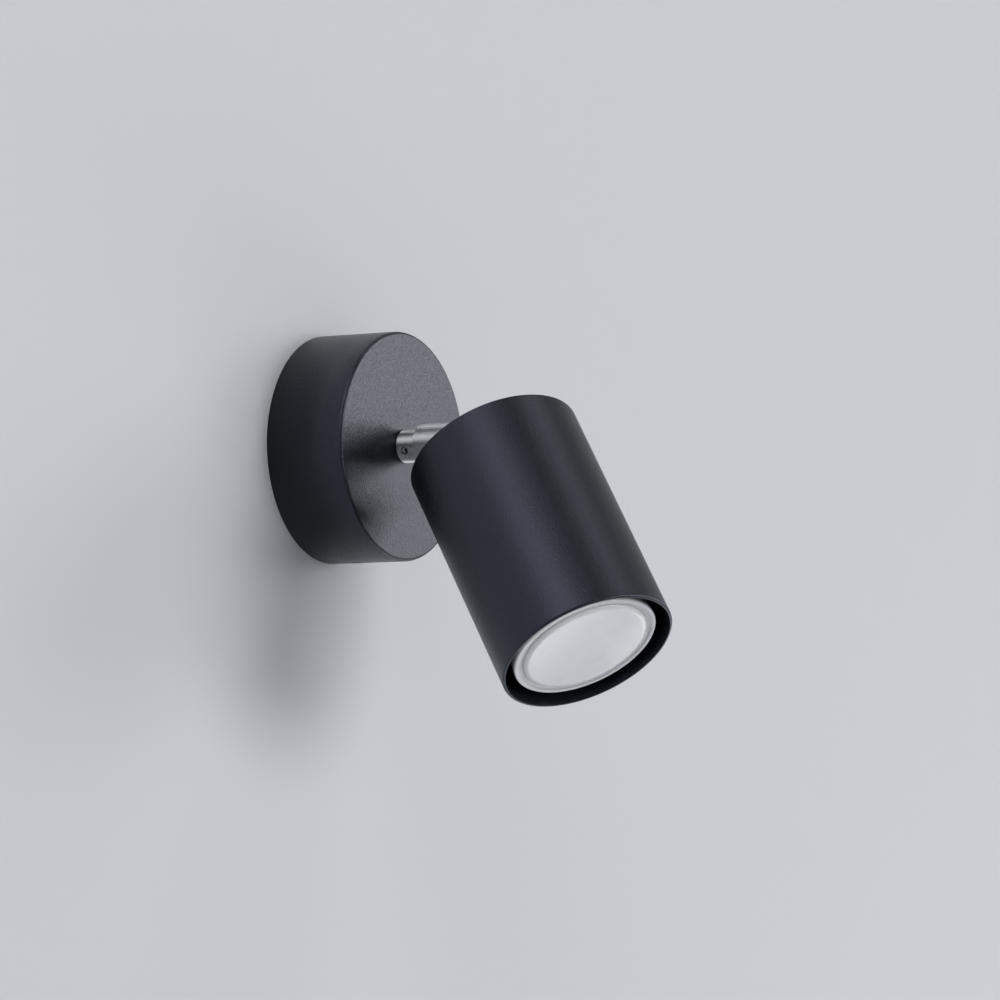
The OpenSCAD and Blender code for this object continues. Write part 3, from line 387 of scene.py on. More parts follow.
@dataclass(frozen=True)
class BareMetal(Finish):
    """Turned, drawn or plated metal.

    Real brushing and tool marks are 0.02 to 0.1 mm apart. They are drawn coarser here, 0.12 to 0.5 mm,
    so that they show.

    Attributes:
        lay: direction that the finishing marks run in.
        mark_mm: spacing of the finishing marks.
        mark_height_mm: depth of the marks.
        streak: how much the gloss is drawn out across the marks.
        dark: sRGB hex colour of the stains.
        cloud_mm: size of the soft stains in a plating.
        stained: part of the stains' values that goes from dark to the metal's colour.
    """

    metallic: float = 1.0
    gloss_span: tuple[float, float] = (-0.06, 0.08)
    lay: Lay = Lay.NONE
    mark_mm: float = 0.3
    mark_height_mm: float = 0.003
    streak: float = 0.0
    dark: str = "8c8d90"
    cloud_mm: float = 6.0
    stained: tuple[float, float] = (0.2, 0.6)

    def dress(self, tree: bpy.types.NodeTree, shader: bpy.types.Node, place: bpy.types.NodeSocket) -> None:
        """Adds the finishing marks, the stains and the drawn-out gloss.

        Args:
            tree: node tree that gets the nodes.
            shader: the surface shader.
            place: coordinates in metres.
        """
        marks = self.pattern(tree, self.along_lay(tree, place), self.mark_mm)
        cloud = self.pattern(tree, place, self.cloud_mm, CLOUD_OCTAVES)
        self.vary_colour(tree, shader, cloud, (self.dark, self.colour), self.stained)
        self.vary_gloss(tree, shader, marks)
        shader.inputs["Anisotropic"].default_value = self.streak
        if self.lay is Lay.ROUND_STEM:
            tangent = add(tree, "ShaderNodeTangent", direction_type="RADIAL", axis="Y")
            tree.links.new(tangent.outputs["Tangent"], shader.inputs["Tangent"])
            shader.inputs["Anisotropic Rotation"].default_value = ACROSS_MARKS
        self.bump(tree, shader, [(marks, self.mark_height_mm)])

    def along_lay(self, tree: bpy.types.NodeTree, place: bpy.types.NodeSocket) -> bpy.types.NodeSocket:
        """Stretches the coordinates so that the marks run round a turned piece.

        Args:
            tree: node tree that gets the node.
            place: coordinates in metres.

        Returns:
            the stretched coordinates, or the given ones where the marks run in no direction.
        """
        if self.lay is Lay.NONE:
            return place
        matrix = (STEM_AXES if self.lay is Lay.ROUND_STEM else HEAD_AXES).matrix
        inputs = {
            "Vector": place,
            "Location": matrix.translation,
            "Rotation": matrix.to_euler(),
            "Scale": (ROUND_STRETCH, ROUND_STRETCH, 1.0),
        }
        along = add(tree, "ShaderNodeMapping", inputs, vector_type="TEXTURE")
        return along.outputs["Vector"]


@dataclass(frozen=True)
class Moulded(Finish):
    """Moulded, pressed or extruded material with a fine skin and soft flow marks.

    A real moulded skin has a grain of about 0.05 mm. It is drawn coarser here, so that it shows.

    Attributes:
        light: sRGB hex colour of the lighter flow marks.
        flow_mm: size of the flow marks.
        skin_mm: size of the skin's grain.
        skin_height_mm: height of the skin's grain.
        inner: share of light that goes under the skin and comes out again.
        depth_mm: how far that light goes.
    """

    light: str = "ffffff"
    flow_mm: float = 5.0
    skin_mm: float = 0.25
    skin_height_mm: float = 0.006
    inner: float = 0.0
    depth_mm: float = 2.0

    def dress(self, tree: bpy.types.NodeTree, shader: bpy.types.Node, place: bpy.types.NodeSocket) -> None:
        """Adds the flow marks and the skin.

        Args:
            tree: node tree that gets the nodes.
            shader: the surface shader.
            place: coordinates in metres.
        """
        flow = self.pattern(tree, place, self.flow_mm)
        skin = self.pattern(tree, place, self.skin_mm)
        self.vary_colour(tree, shader, flow, (self.colour, self.light))
        self.vary_gloss(tree, shader, skin)
        if self.inner:
            shader.inputs["Subsurface Weight"].default_value = self.inner
            shader.inputs["Subsurface Radius"].default_value = EVEN_REACH
            shader.inputs["Subsurface Scale"].default_value = self.depth_mm * MM
        self.bump(tree, shader, [(skin, self.skin_height_mm)])


# Satin black polyester powder coat, sprayed and baked: a fine sandy grain that takes broad, soft light
BLACK_COAT = PowderCoat("powder_coat_black", "0b0c11", 0.37)
# Nickel-plated brass bar, turned and satin brushed: one bright band drawn along the stem
SATIN_NICKEL = BareMetal(
    "nickel_plate_turned",
    "e8ebf0",
    0.5,
    lay=Lay.ROUND_STEM,
    mark_mm=0.12,
    mark_height_mm=0.0004,
    streak=1.0,
    dark="d2d5da",
)
# Nickel-plated brass of the knuckle, turned about the head's axis: fine rings and a mild gloss
SATIN_NICKEL_HEAD = BareMetal(
    "nickel_plate_knuckle", "c3c5ca", 0.27, lay=Lay.ROUND_HEAD, mark_mm=0.14, dark="a9abb0"
)
# Bright zinc plate on pressed steel: bluish white with soft stains
ZINC_PLATE = BareMetal("zinc_plate_pressed_steel", "c4c8ce", 0.33, mark_mm=0.5, dark="9da2ab", cloud_mm=5.0)
# Bright zinc plate on turned screws and nuts: fine tool marks and a sharper gloss
ZINC_TURNED = BareMetal("zinc_plate_turned_steel", "b9bcc2", 0.25, mark_mm=0.2, dark="8f949c", cloud_mm=2.0)
# Nickel-plated steel of the small locking and pivot screws: bright, with fine tool marks
SCREW_STEEL = BareMetal("nickel_plate_screw", "bfc0c4", 0.16, mark_mm=0.2, dark="8d8f93", cloud_mm=0.8)
# Oil-blackened steel of the canopy's grub screws: nearly black, softly glossy
BLACK_STEEL = BareMetal("blackened_steel", "2c2c2e", 0.38, mark_mm=0.3, dark="1b1b1c", cloud_mm=1.5)
# Turned brass of the clamps and earth screws: yellow with slight tarnish
BRASS = BareMetal("brass_turned", "c9a964", 0.28, mark_mm=0.2, dark="a3854a", cloud_mm=3.0)
# Tinned brass strip of the earth tags: pale, with a soft sheen
TINNED_BRASS = BareMetal("brass_tinned_strip", "c8c4b8", 0.32, mark_mm=0.3, dark="aaa595", cloud_mm=3.0)
# Rolled phosphor bronze of the contacts: brownish orange, soft gloss
BRONZE = BareMetal("phosphor_bronze_rolled", "b8875a", 0.3, mark_mm=0.3, dark="94673f", cloud_mm=3.0)
# Nickel plate of the lamp's turned pins: warm and bright
PIN_NICKEL = BareMetal("nickel_plate_pins", "c9c6bf", 0.2, mark_mm=0.2, dark="a7a49c", cloud_mm=2.0)
# Moulded polyamide of the terminal block: off-white, slightly waxy
POLYAMIDE = Moulded("polyamide_moulded", "d9d8d0", 0.42, light="e6e5de", inner=0.1)
# Steatite ceramic, pressed and fired unglazed: cream, fine and dull
CERAMIC = Moulded(
    "steatite_fired",
    "dedace",
    0.62,
    light="ebe8df",
    flow_mm=3.0,
    skin_mm=0.3,
    skin_height_mm=0.012,
)
# Vulcanised fibre sheet, stamped: brown with a felted mottle
FIBRE = Moulded("vulcanised_fibre", "5a3b26", 0.6, light="78553a", flow_mm=1.2, skin_height_mm=0.012)
# Stamped nylon sheet of the tilt washers: waxy white
NYLON = Moulded("nylon_stamped", "d8d7cf", 0.4, light="e4e3dc")
# Extruded PVC insulation and silicone sleeving: smooth with a soft gloss
LIVE_PVC = Moulded("pvc_extruded_brown", "5b3220", 0.35, light="6b3f2a", flow_mm=3.0)
NEUTRAL_PVC = Moulded("pvc_extruded_blue", "1f4f8f", 0.35, light="2c61a5", flow_mm=3.0)
EARTH_PVC = Moulded("pvc_extruded_green", "3d7a2a", 0.35, light="c9b81f", flow_mm=2.0)
SLEEVE_PVC = Moulded("silicone_sleeve", "b9b4a6", 0.5, light="cbc7bb", flow_mm=3.0)
# Moulded white polycarbonate of the lamp's body: even and faintly glossy
LAMP_WHITE = Moulded("polycarbonate_white", "dcdcda", 0.38, light="e8e8e6")
# Moulded clear polycarbonate of the lamp's rim: glossy, and pale from the white body under it
LAMP_RIM = Moulded(
    "polycarbonate_clear_rim",
    "e0e0e4",
    0.16,
    light="e8e8ec",
    skin_mm=2.0,
    skin_height_mm=0.004,
    inner=0.8,
    depth_mm=3.0,
)
# Moulded opal polycarbonate of the lamp's cover: milky, with soft shading from the light under its skin
OPAL = Moulded(
    "polycarbonate_opal",
    "e6e5ea",
    0.2,
    light="ecebf0",
    flow_mm=12.0,
    skin_mm=2.5,
    skin_height_mm=0.004,
    inner=0.8,
    depth_mm=4.0,
)
# Circuit boards under their solder mask: an even, smooth lacquer
BOARD_WHITE = Moulded("solder_mask_white", "dfe3e0", 0.35, light="eceeec")
BOARD_GREEN = Moulded("solder_mask_green", "1d5a33", 0.3, light="2a6b40")
# Phosphor in silicone over the light chips: deep yellow, smooth
PHOSPHOR = Moulded("phosphor_silicone", "e2b93a", 0.25, light="ecca58", flow_mm=0.8)
# Moulded black epoxy of the driver's parts: dull with sharp edges
EPOXY = Moulded("epoxy_moulded_black", "19191c", 0.4, light="232327")

MADE: dict[Finish, bpy.types.Material] = {}


def material_of(finish: Finish) -> bpy.types.Material:
    """Finds a finish's material, which is made once.

    Args:
        finish: the finish.

    Returns:
        its material.
    """
    if finish not in MADE:
        MADE[finish] = finish.build()
    return MADE[finish]


def linked_object(name: str, data: Any) -> bpy.types.Object:
    """Makes an object at the origin.

    Args:
        name: its name.
        data: the mesh, light or camera that it shows.

    Returns:
        the object.
    """
    made = bpy.data.objects.new(name, data)
    bpy.context.scene.collection.objects.link(made)
    return made


def soften(mesh: bpy.types.Mesh) -> None:
    """Shades a mesh smooth, with sharp edges where its faces turn away strongly."""
    mesh.shade_smooth()
    mesh.set_sharp_from_angle(angle=math.radians(SMOOTH_DEG))


class Growth:
    """Geometry Nodes tree whose named inputs give a piece its sizes.

    Attributes:
        tree: the node tree.
        given: the node that hands out its inputs.
        sizes: value of each named input, lengths in metres and counts as whole numbers.
    """

    def __init__(self, name: str, sizes: Mapping[str, float | int]) -> None:
        """Starts the tree with its inputs.

        Args:
            name: the tree's name.
            sizes: value of each named input.
        """
        self.tree = bpy.data.node_groups.new(name, "GeometryNodeTree")
        self.sizes = dict(sizes)
        kinds = {
            size: "NodeSocketInt" if isinstance(value, int) else "NodeSocketFloat"
            for size, value in sizes.items()
        }
        kinds |= {
            "Place": "NodeSocketVector",
            "Turn": "NodeSocketVector",
            "Material": "NodeSocketMaterial",
        }
        for size, kind in kinds.items():
            self.tree.interface.new_socket(size, in_out="INPUT", socket_type=kind)
        self.tree.interface.new_socket("Geometry", in_out="OUTPUT", socket_type="NodeSocketGeometry")
        self.given = self.node("NodeGroupInput")

    def __getitem__(self, size: str) -> bpy.types.NodeSocket:
        """Returns the socket of a named input."""
        return self.given.outputs[size]

    def node(self, kind: str, inputs: Mapping[Any, Any] | None = None, **settings: Any) -> bpy.types.Node:
        """Adds one node to the tree."""
        return add(self.tree, kind, inputs, **settings)

    def end(self, shape: bpy.types.NodeSocket) -> None:
        """Places the shape, makes it real and gives it its material.

        Args:
            shape: geometry round the tree's own z axis.
        """
        spot = {"Geometry": shape, "Translation": self["Place"], "Rotation": self["Turn"]}
        placed = self.node("GeometryNodeTransform", spot).outputs["Geometry"]
        smooth = self.node("GeometryNodeSetShadeSmooth", {"Geometry": placed}).outputs["Geometry"]
        real = self.node("GeometryNodeRealizeInstances", {"Geometry": smooth}).outputs["Geometry"]
        coat = {"Geometry": real, "Material": self["Material"]}
        painted = self.node("GeometryNodeSetMaterial", coat).outputs["Geometry"]
        self.node("NodeGroupOutput", {"Geometry": painted})

    def grow(self, name: str, axes: Axes, finish: Finish) -> bpy.types.Object:
        """Makes the piece as a plain mesh.

        Args:
            name: the piece's name.
            axes: frame that the shape is placed in.
            finish: its finish.

        Returns:
            the piece, with its place in its mesh.
        """
        holder = linked_object(f"{name}_growth", bpy.data.meshes.new(f"{name}_growth"))
        modifier = holder.modifiers.new("growth", "NODES")
        modifier.node_group = self.tree
        values = self.sizes | {
            "Place": axes.matrix.translation,
            "Turn": axes.matrix.to_euler(),
            "Material": material_of(finish),
        }
        for socket in self.tree.interface.items_tree:
            if socket.name in values:
                modifier[socket.identifier] = values[socket.name]
        mesh = plain_mesh(holder, name)
        bpy.data.objects.remove(holder)
        return linked_object(name, mesh)


def plain_mesh(holder: bpy.types.Object, name: str) -> bpy.types.Mesh:
    """Evaluates an object, with normals that keep its large faces flat.

    Args:
        holder: object whose modifiers make the shape.
        name: name of the new mesh.

    Returns:
        the mesh without modifiers.
    """
    even = holder.modifiers.new("even_normals", "WEIGHTED_NORMAL")
    even.weight = EVEN_WEIGHT
    graph = bpy.context.evaluated_depsgraph_get()
    shown = holder.evaluated_get(graph)
    mesh = bpy.data.meshes.new_from_object(shown, preserve_all_data_layers=True, depsgraph=graph)
    mesh.name = name
    return mesh


@dataclass
class SweptWall:
    """Tube wall whose section has four rounded corners, swept round an axis.

    Attributes:
        inner_r: inner radius.
        wall: thickness.
        start: place of its back end along the axis.
        length: length along the axis.
        back_round: rounding of the back corners.
        rim_out: rounding of the front rim's outer corner.
        rim_in: rounding of the front rim's inner corner.
        steps: steps round the axis.
        arc_steps: points of each rounding.
    """

    inner_r: float
    wall: float
    start: float
    length: float
    back_round: float
    rim_out: float
    rim_in: float
    steps: int = 256
    arc_steps: int = 7

    def growth(self, name: str) -> Growth:
        """Makes the tree.

        Args:
            name: the tree's name.

        Returns:
            the tree with its inputs.
        """
        sizes = {
            "Inner Radius": self.inner_r,
            "Wall": self.wall,
            "Start": self.start,
            "Length": self.length,
            "Back Rounding": self.back_round,
            "Rim Outer Rounding": self.rim_out,
            "Rim Inner Rounding": self.rim_in,
            "Steps": self.steps,
            "Arc Steps": self.arc_steps,
        }
        grown = Growth(name, sizes)
        sheet = {"Width": grown["Wall"], "Height": grown["Length"]}
        section = grown.node("GeometryNodeCurvePrimitiveQuadrilateral", sheet).outputs["Curve"]
        spot = grown.node("GeometryNodeInputPosition").outputs["Position"]
        split = grown.node("ShaderNodeSeparateXYZ", {"Vector": spot})
        sides = {0: split.outputs["X"], 1: 0.0}
        outside = grown.node("ShaderNodeMath", sides, operation="GREATER_THAN").outputs[0]
        ends = {0: split.outputs["Y"], 1: 0.0}
        front = grown.node("ShaderNodeMath", ends, operation="LESS_THAN").outputs[0]
        rim = {0: outside, 2: grown["Rim Inner Rounding"], 3: grown["Rim Outer Rounding"]}
        rim_round = grown.node("ShaderNodeMix", rim).outputs[0]
        corner = {0: front, 2: grown["Back Rounding"], 3: rim_round}
        rounding = grown.node("ShaderNodeMix", corner).outputs[0]
        rounds = {"Curve": section, "Count": grown["Arc Steps"], "Radius": rounding}
        rounded = grown.node("GeometryNodeFilletCurve", rounds, mode="POLY").outputs["Curve"]
        half_wall = {0: grown["Wall"], 1: 0.5}
        out_by = grown.node("ShaderNodeMath", half_wall, operation="MULTIPLY").outputs[0]
        half_way = {0: grown["Length"], 1: 0.5, 2: grown["Start"]}
        middle = grown.node("ShaderNodeMath", half_way, operation="MULTIPLY_ADD").outputs[0]
        along = grown.node("ShaderNodeMath", {0: middle, 1: -1.0}, operation="MULTIPLY").outputs[0]
        shift = grown.node("ShaderNodeCombineXYZ", {"X": out_by, "Y": along}).outputs["Vector"]
        shifted = {"Geometry": rounded, "Translation": shift}
        profile = grown.node("GeometryNodeTransform", shifted).outputs["Geometry"]
        ring = {"Resolution": grown["Steps"], "Radius": grown["Inner Radius"]}
        rail = grown.node("GeometryNodeCurvePrimitiveCircle", ring).outputs["Curve"]
        sweep = {"Curve": rail, "Profile Curve": profile}
        swept = grown.node("GeometryNodeCurveToMesh", sweep).outputs["Mesh"]
        grown.end(swept)
        return grown


@dataclass
class Assembly:
    """Pieces of one body: what each node is made of, and what is made anew.

    Attributes:
        body: body that the new pieces ride on.
        finishes: finish of each node.
        edges_mm: width of the broken edge of each node that is shown by a smoothed copy, or 0 for none.
    """

    body: Body
    finishes: Mapping[str, Finish] = field(default_factory=dict)
    edges_mm: Mapping[str, float] = field(default_factory=dict)

    def build(self) -> None:
        """Dresses the nodes, smooths the curved ones and makes the new pieces."""
        for name, finish in self.finishes.items():
            if name in self.edges_mm:
                self.refined(name, self.edges_mm[name], finish)
            else:
                self.dress(frame["nodes"][name], finish)
        self.make()

    def make(self) -> None:
        """Makes the new pieces; an assembly without any has none."""

    def dress(self, piece: bpy.types.Object, finish: Finish) -> None:
        """Gives a piece its finish and reports it.

        Args:
            piece: a node or a new piece.
            finish: its finish.
        """
        piece.data.materials.clear()
        piece.data.materials.append(material_of(finish))
        LOG.info("%s rides on %s, %d faces", piece.name, self.body.value, len(piece.data.polygons))

    def place(self, piece: bpy.types.Object, finish: Finish, node: str) -> None:
        """Puts a new piece on the body in place of a node.

        Args:
            piece: the new piece.
            finish: its finish.
            node: the node that it replaces, which is hidden.
        """
        self.dress(piece, finish)
        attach(piece, self.body.value)
        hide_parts(node)

    def refined(self, node: str, bevel_mm: float, finish: Finish) -> None:
        """Replaces a node with a merged copy that is smooth where the real piece is.

        Args:
            node: the node that it copies and replaces.
            bevel_mm: width of the broken edge, or 0 for none.
            finish: its finish.
        """
        name = f"{node}_smooth"
        holder = linked_object(f"{name}_merged", self.merged(node, f"{name}_merged"))
        if bevel_mm:
            edge = holder.modifiers.new("broken_edge", "BEVEL")
            edge.width = bevel_mm * MM
            edge.segments = EDGE_SEGMENTS
            edge.limit_method = "ANGLE"
            edge.angle_limit = math.radians(EDGE_DEG)
        piece = linked_object(name, plain_mesh(holder, name))
        bpy.data.objects.remove(holder)
        self.place(piece, finish, node)

    def merged(self, node: str, name: str) -> bpy.types.Mesh:
        """Copies a node's mesh with its loose triangles joined and its flat faces made whole.

        Args:
            node: the node that is copied.
            name: the new mesh's name.

        Returns:
            the new mesh.
        """
        source = frame["nodes"][node].data
        corners = [tuple(vertex.co) for vertex in source.vertices]
        mesh = bpy.data.meshes.new(name)
        mesh.from_pydata(corners, [], [tuple(face.vertices) for face in source.polygons])
        shape = bmesh.new()
        shape.from_mesh(mesh)
        bmesh.ops.remove_doubles(shape, verts=shape.verts, dist=MERGE)
        flat = math.radians(FLAT_DEG)
        bmesh.ops.dissolve_limit(shape, angle_limit=flat, verts=shape.verts, edges=shape.edges)
        shape.to_mesh(mesh)
        shape.free()
        soften(mesh)
        return mesh


@dataclass(frozen=True)
class Sun:
    """Distant soft light.

    Attributes:
        name: its name.
        towards: direction from the object to it.
        strength: its strength.
        spread_deg: how wide it looks from the object, in degrees.
    """

    name: str
    towards: tuple[float, float, float]
    strength: float
    spread_deg: float

    def build(self) -> None:
        """Makes the light."""
        data = bpy.data.lights.new(self.name, "SUN")
        data.energy = self.strength
        data.angle = math.radians(self.spread_deg)
        face_away(linked_object(self.name, data), Vector(self.towards).normalized())


@dataclass(frozen=True)
class Panel:
    """Soft panel light that faces the middle of the object.

    Attributes:
        name: its name.
        place: its middle.
        size: its width and height.
        power: its power in watts.
    """

    name: str
    place: tuple[float, float, float]
    size: tuple[float, float]
    power: float

    def build(self) -> None:
        """Makes the light."""
        data = bpy.data.lights.new(self.name, "AREA")
        data.shape = "RECTANGLE"
        data.size, data.size_y = self.size
        data.energy = self.power
        lamp = linked_object(self.name, data)
        lamp.location = self.place
        face_away(lamp, Vector(self.place) - PANEL_AIM)


def face_away(lamp: bpy.types.Object, direction: Vector) -> None:
    """Turns a light so that its back looks in a direction."""
    lamp.rotation_mode = "QUATERNION"
    lamp.rotation_quaternion = direction.to_track_quat("Z", "Y")


# The soft light of the photographed room: mostly from in front, some from the right and from above
SUNS = (
    Sun("front", (0.12, -0.99, 0.02), 2.0, 38),
    Sun("right", (0.82, -0.56, 0.1), 0.62, 25),
    Sun("right_front", (0.6, -0.78, -0.02), 0.24, 30),
    Sun("upper_left", (-0.66, -0.26, 0.71), 0.5, 40),
    Sun("upper_right", (0.82, -0.39, 0.43), 0.15, 30),
    Sun("top", (0.3, -0.35, 0.88), 0.34, 30),
)
# Panels: a long one that draws the bright band along the stem, and two low ones that lift the undersides
PANELS = (
    Panel("long_left", (-0.7, -0.08, 0.42), (0.16, 0.5), 0.8),
    Panel("low_right", (1.01, -0.37, -0.78), (0.5, 0.5), 1.6),
    Panel("low_wall", (0.55, -0.15, -0.95), (0.5, 0.2), 0.8),
)


@dataclass
class Stage:
    """Wall, floor, lights and camera round the object.

    Attributes:
        azimuth: direction of the camera round the object in degrees.
        elevation: height of the camera above the horizon in degrees.
        distance: from the camera to the canopy's face along its view.
        focal_px: focal length in pixels of the square frame.
        frame_px: side of that frame.
        face_px: where the middle of the canopy's face shows, as column and row.
        wall_size: side of the square wall.
        hole_r: radius of the wall's hole behind the canopy.
        hole_steps: corners of that hole.
        floor_size: side of the square floor.
        floor_z: its height.
        wall_colour: sRGB hex colour of the wall's paint.
        floor_colour: sRGB hex colour of the floor's paint.
        air_colour: sRGB hex colour of the surroundings.
        air_light: strength of the surroundings.
    """

    azimuth: float = -58.96
    elevation: float = -4.06
    distance: float = 1.5757
    focal_px: float = 4618.7
    frame_px: float = 1000.0
    face_px: tuple[float, float] = (404.2, 446.4)
    wall_size: float = 8.0
    hole_r: float = 0.038
    hole_steps: int = 64
    floor_size: float = 30.0
    floor_z: float = -1.2
    wall_colour: str = "d3d6db"
    floor_colour: str = "d8dadd"
    air_colour: str = "eceef2"
    air_light: float = 0.03

    def build(self) -> None:
        """Makes all of it."""
        self.camera()
        self.backdrop(linked_object("wall", self.wall()), self.wall_colour)
        self.backdrop(linked_object("floor", self.floor()), self.floor_colour)
        for light in (*SUNS, *PANELS):
            light.build()
        self.world()

    def camera(self) -> None:
        """Sets the camera at the photograph's angle."""
        turn = math.radians(self.azimuth)
        rise = math.radians(self.elevation)
        back = Vector(
            (
                math.sin(turn) * math.cos(rise),
                -math.cos(turn) * math.cos(rise),
                math.sin(rise),
            )
        )
        right = Vector((math.cos(turn), math.sin(turn), 0))
        up = back.cross(right)
        half = self.frame_px / 2
        across = (self.face_px[0] - half) / self.focal_px * self.distance
        down = (self.face_px[1] - half) / self.focal_px * self.distance
        low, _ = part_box("canopy")
        face = Vector((0, low.y, 0))
        data = bpy.data.cameras.new("camera")
        data.sensor_width = SENSOR_MM
        data.lens = self.focal_px / self.frame_px * SENSOR_MM
        camera = linked_object("camera", data)
        place = face - across * right + down * up + self.distance * back
        facing = Matrix((right, up, back)).transposed().to_4x4()
        camera.matrix_world = Matrix.Translation(place) @ facing
        bpy.context.scene.camera = camera

    def backdrop(self, piece: bpy.types.Object, colour: str) -> None:
        """Paints a backdrop matt, and clear from behind so that the back views see the object.

        Args:
            piece: the wall or the floor.
            colour: sRGB hex colour of the paint.
        """
        material, tree = empty_material(f"{piece.name}_paint")
        paint = add(tree, "ShaderNodeBsdfDiffuse", {"Color": linear(colour)}).outputs["BSDF"]
        clear = add(tree, "ShaderNodeBsdfTransparent").outputs["BSDF"]
        behind = add(tree, "ShaderNodeNewGeometry").outputs["Backfacing"]
        both = add(tree, "ShaderNodeMixShader", {0: behind, 1: paint, 2: clear})
        add(tree, "ShaderNodeOutputMaterial", {"Surface": both.outputs[0]})
        piece.data.materials.append(material)

    def wall(self) -> bpy.types.Mesh:
        """Makes the wall, whose hole behind the canopy lets light in from behind.

        Returns:
            the wall's mesh.
        """
        shape = bmesh.new()
        half = self.wall_size / 2
        turns = [2 * math.pi * i / self.hole_steps for i in range(self.hole_steps)]
        inner = [shape.verts.new((self.hole_r * math.cos(t), 0, self.hole_r * math.sin(t))) for t in turns]
        outer = []
        for t in turns:
            reach = half / max(abs(math.cos(t)), abs(math.sin(t)))
            outer.append(shape.verts.new((reach * math.cos(t), 0, reach * math.sin(t))))
        for i in range(self.hole_steps):
            j = (i + 1) % self.hole_steps
            shape.faces.new((inner[i], outer[i], outer[j], inner[j]))
        mesh = bpy.data.meshes.new("wall")
        shape.to_mesh(mesh)
        shape.free()
        return mesh

    def floor(self) -> bpy.types.Mesh:
        """Makes the floor.

        Returns:
            the floor's mesh.
        """
        mesh = bpy.data.meshes.new("floor")
        reach = self.floor_size / 2
        corners = [(-reach, -reach), (reach, -reach), (reach, reach), (-reach, reach)]
        mesh.from_pydata([(x, y, self.floor_z) for x, y in corners], [], [(0, 1, 2, 3)])
        return mesh

    def world(self) -> None:
        """Makes the dim, even surroundings."""
        world = bpy.data.worlds.new("surroundings")
        bpy.context.scene.world = world
        world.use_nodes = True
        tree = world.node_tree
        tree.nodes.clear()
        even = {"Color": linear(self.air_colour), "Strength": self.air_light}
        air = add(tree, "ShaderNodeBackground", even).outputs[0]
        add(tree, "ShaderNodeOutputWorld", {"Surface": air})
        bpy.context.scene.view_settings.view_transform = "Standard"


@dataclass
class Base(Assembly):
    """Canopy, wall bracket and terminals."""

    body: Body = Body.BASE
    finishes: Mapping[str, Finish] = field(
        default_factory=lambda: {
            "canopy": BLACK_COAT,
            "wall_bracket": ZINC_PLATE,
            "canopy_screws": BLACK_STEEL,
            "stop_stud": ZINC_TURNED,
            "terminal_block": POLYAMIDE,
            "terminal_clamps": BRASS,
            "terminal_screws": ZINC_TURNED,
            "block_screw": ZINC_TURNED,
            "earth_screw": BRASS,
            "earth_tag": TINNED_BRASS,
            "live_lead_base": LIVE_PVC,
            "neutral_lead_base": NEUTRAL_PVC,
            "earth_lead_base": EARTH_PVC,
        }
    )
    edges_mm: Mapping[str, float] = field(
        default_factory=lambda: {
            "canopy": 0.0,
            "wall_bracket": 0.1,
            "canopy_screws": 0.0,
            "terminal_block": 0.1,
        }
    )


@dataclass
class Stem(Assembly):
    """Swivel stem with its nipple and washers."""

    body: Body = Body.STEM
    finishes: Mapping[str, Finish] = field(
        default_factory=lambda: {
            "swivel_fork": SATIN_NICKEL,
            "nipple": ZINC_TURNED,
            "set_screw": SCREW_STEEL,
            "friction_washer": FIBRE,
            "stop_washer": ZINC_PLATE,
            "spring_washer": ZINC_PLATE,
            "nipple_nut": ZINC_TURNED,
            "tilt_washers": NYLON,
            "stem_leads": SLEEVE_PVC,
        }
    )
    edges_mm: Mapping[str, float] = field(
        default_factory=lambda: {
            "swivel_fork": 0.12,
            "nipple": 0.0,
            "set_screw": 0.0,
            "nipple_nut": 0.08,
        }
    )


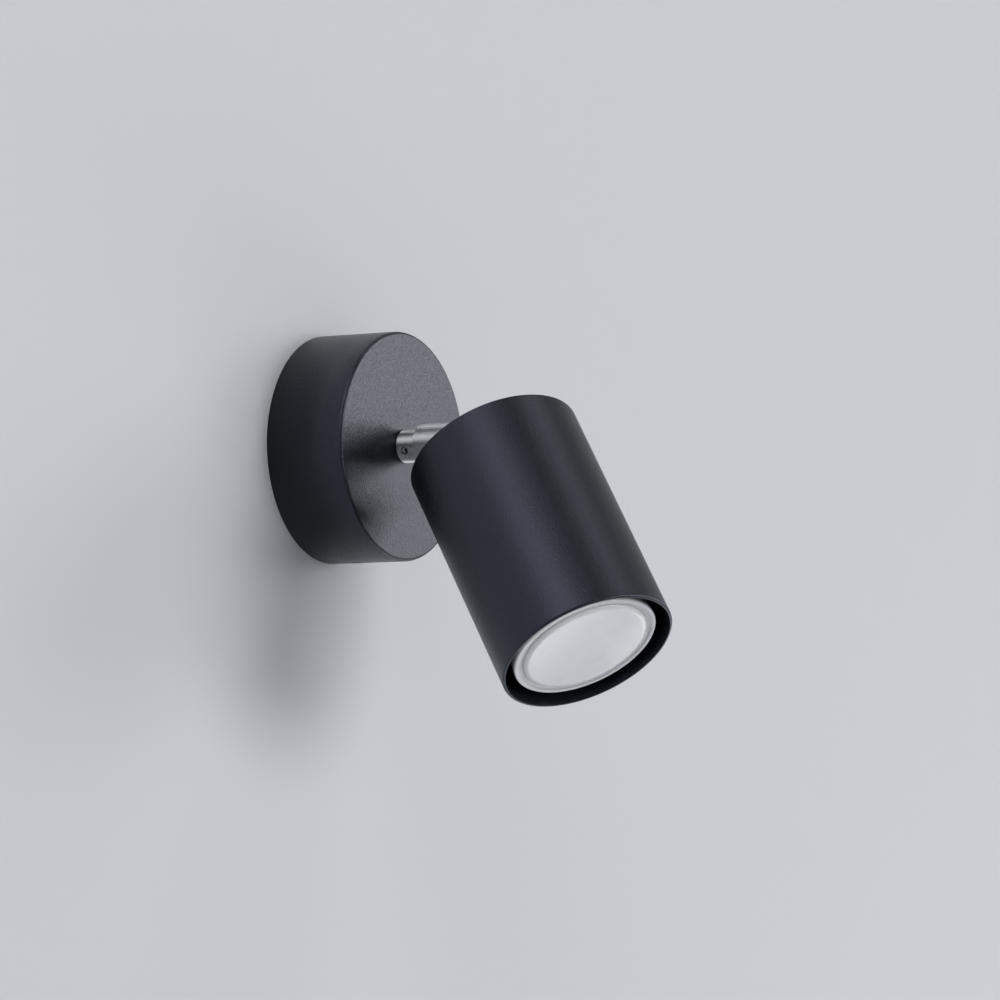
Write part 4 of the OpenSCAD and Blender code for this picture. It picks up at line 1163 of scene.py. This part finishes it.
@dataclass
class Head(Assembly):
    """Head tube, rear disc, knuckle and lampholder."""

    body: Body = Body.HEAD
    finishes: Mapping[str, Finish] = field(
        default_factory=lambda: {
            "knuckle": SATIN_NICKEL_HEAD,
            "pivot_screws": SCREW_STEEL,
            "rear_disc": BLACK_COAT,
            "holder_bracket": ZINC_PLATE,
            "stud_lock_washer": ZINC_PLATE,
            "stud_nut": ZINC_TURNED,
            "lampholder": CERAMIC,
            "holder_contacts": BRONZE,
            "holder_screws": ZINC_TURNED,
            "head_earth_tag": TINNED_BRASS,
            "head_earth_screw": BRASS,
            "head_earth_nut": ZINC_TURNED,
            "live_lead_head": LIVE_PVC,
            "neutral_lead_head": NEUTRAL_PVC,
            "earth_lead_head": EARTH_PVC,
        }
    )
    edges_mm: Mapping[str, float] = field(
        default_factory=lambda: {
            "knuckle": 0.1,
            "pivot_screws": 0.0,
            "rear_disc": 0.0,
            "holder_bracket": 0.1,
            "stud_nut": 0.08,
            "lampholder": 0.15,
        }
    )
    tube: SweptWall = field(
        default_factory=lambda: SweptWall(
            inner_r=29.0 * MM,
            wall=1.0 * MM,
            start=4.1 * MM,
            length=85.4 * MM,
            back_round=0.35 * MM,
            rim_out=0.8 * MM,
            rim_in=0.15 * MM,
        )
    )

    def make(self) -> None:
        """Sweeps the coated tube round the head's axis."""
        tube = self.tube.growth("head_tube_sweep").grow("head_tube_coated", HEAD_AXES, BLACK_COAT)
        self.place(tube, BLACK_COAT, "head_tube")


@dataclass
class Lamp(Assembly):
    """Push-and-turn reflector lamp."""

    body: Body = Body.LAMP
    finishes: Mapping[str, Finish] = field(
        default_factory=lambda: {
            "lamp_base": LAMP_WHITE,
            "lamp_pins": PIN_NICKEL,
            "lamp_body": LAMP_WHITE,
            "led_board": BOARD_WHITE,
            "led_chips": PHOSPHOR,
            "driver_board": BOARD_GREEN,
            "driver_parts": EPOXY,
            "lamp_bezel": LAMP_RIM,
            "lamp_diffuser": OPAL,
        }
    )
    edges_mm: Mapping[str, float] = field(
        default_factory=lambda: {
            "lamp_base": 0.1,
            "lamp_body": 0.0,
            "lamp_bezel": 0.0,
            "lamp_diffuser": 0.0,
        }
    )


def main() -> None:
    """Builds the stage and the assemblies in order."""
    logging.basicConfig(level=logging.INFO)
    Stage().build()
    for assembly in (Base(), Stem(), Head(), Lamp()):
        assembly.build()


if __name__ == "__main__":
    main()
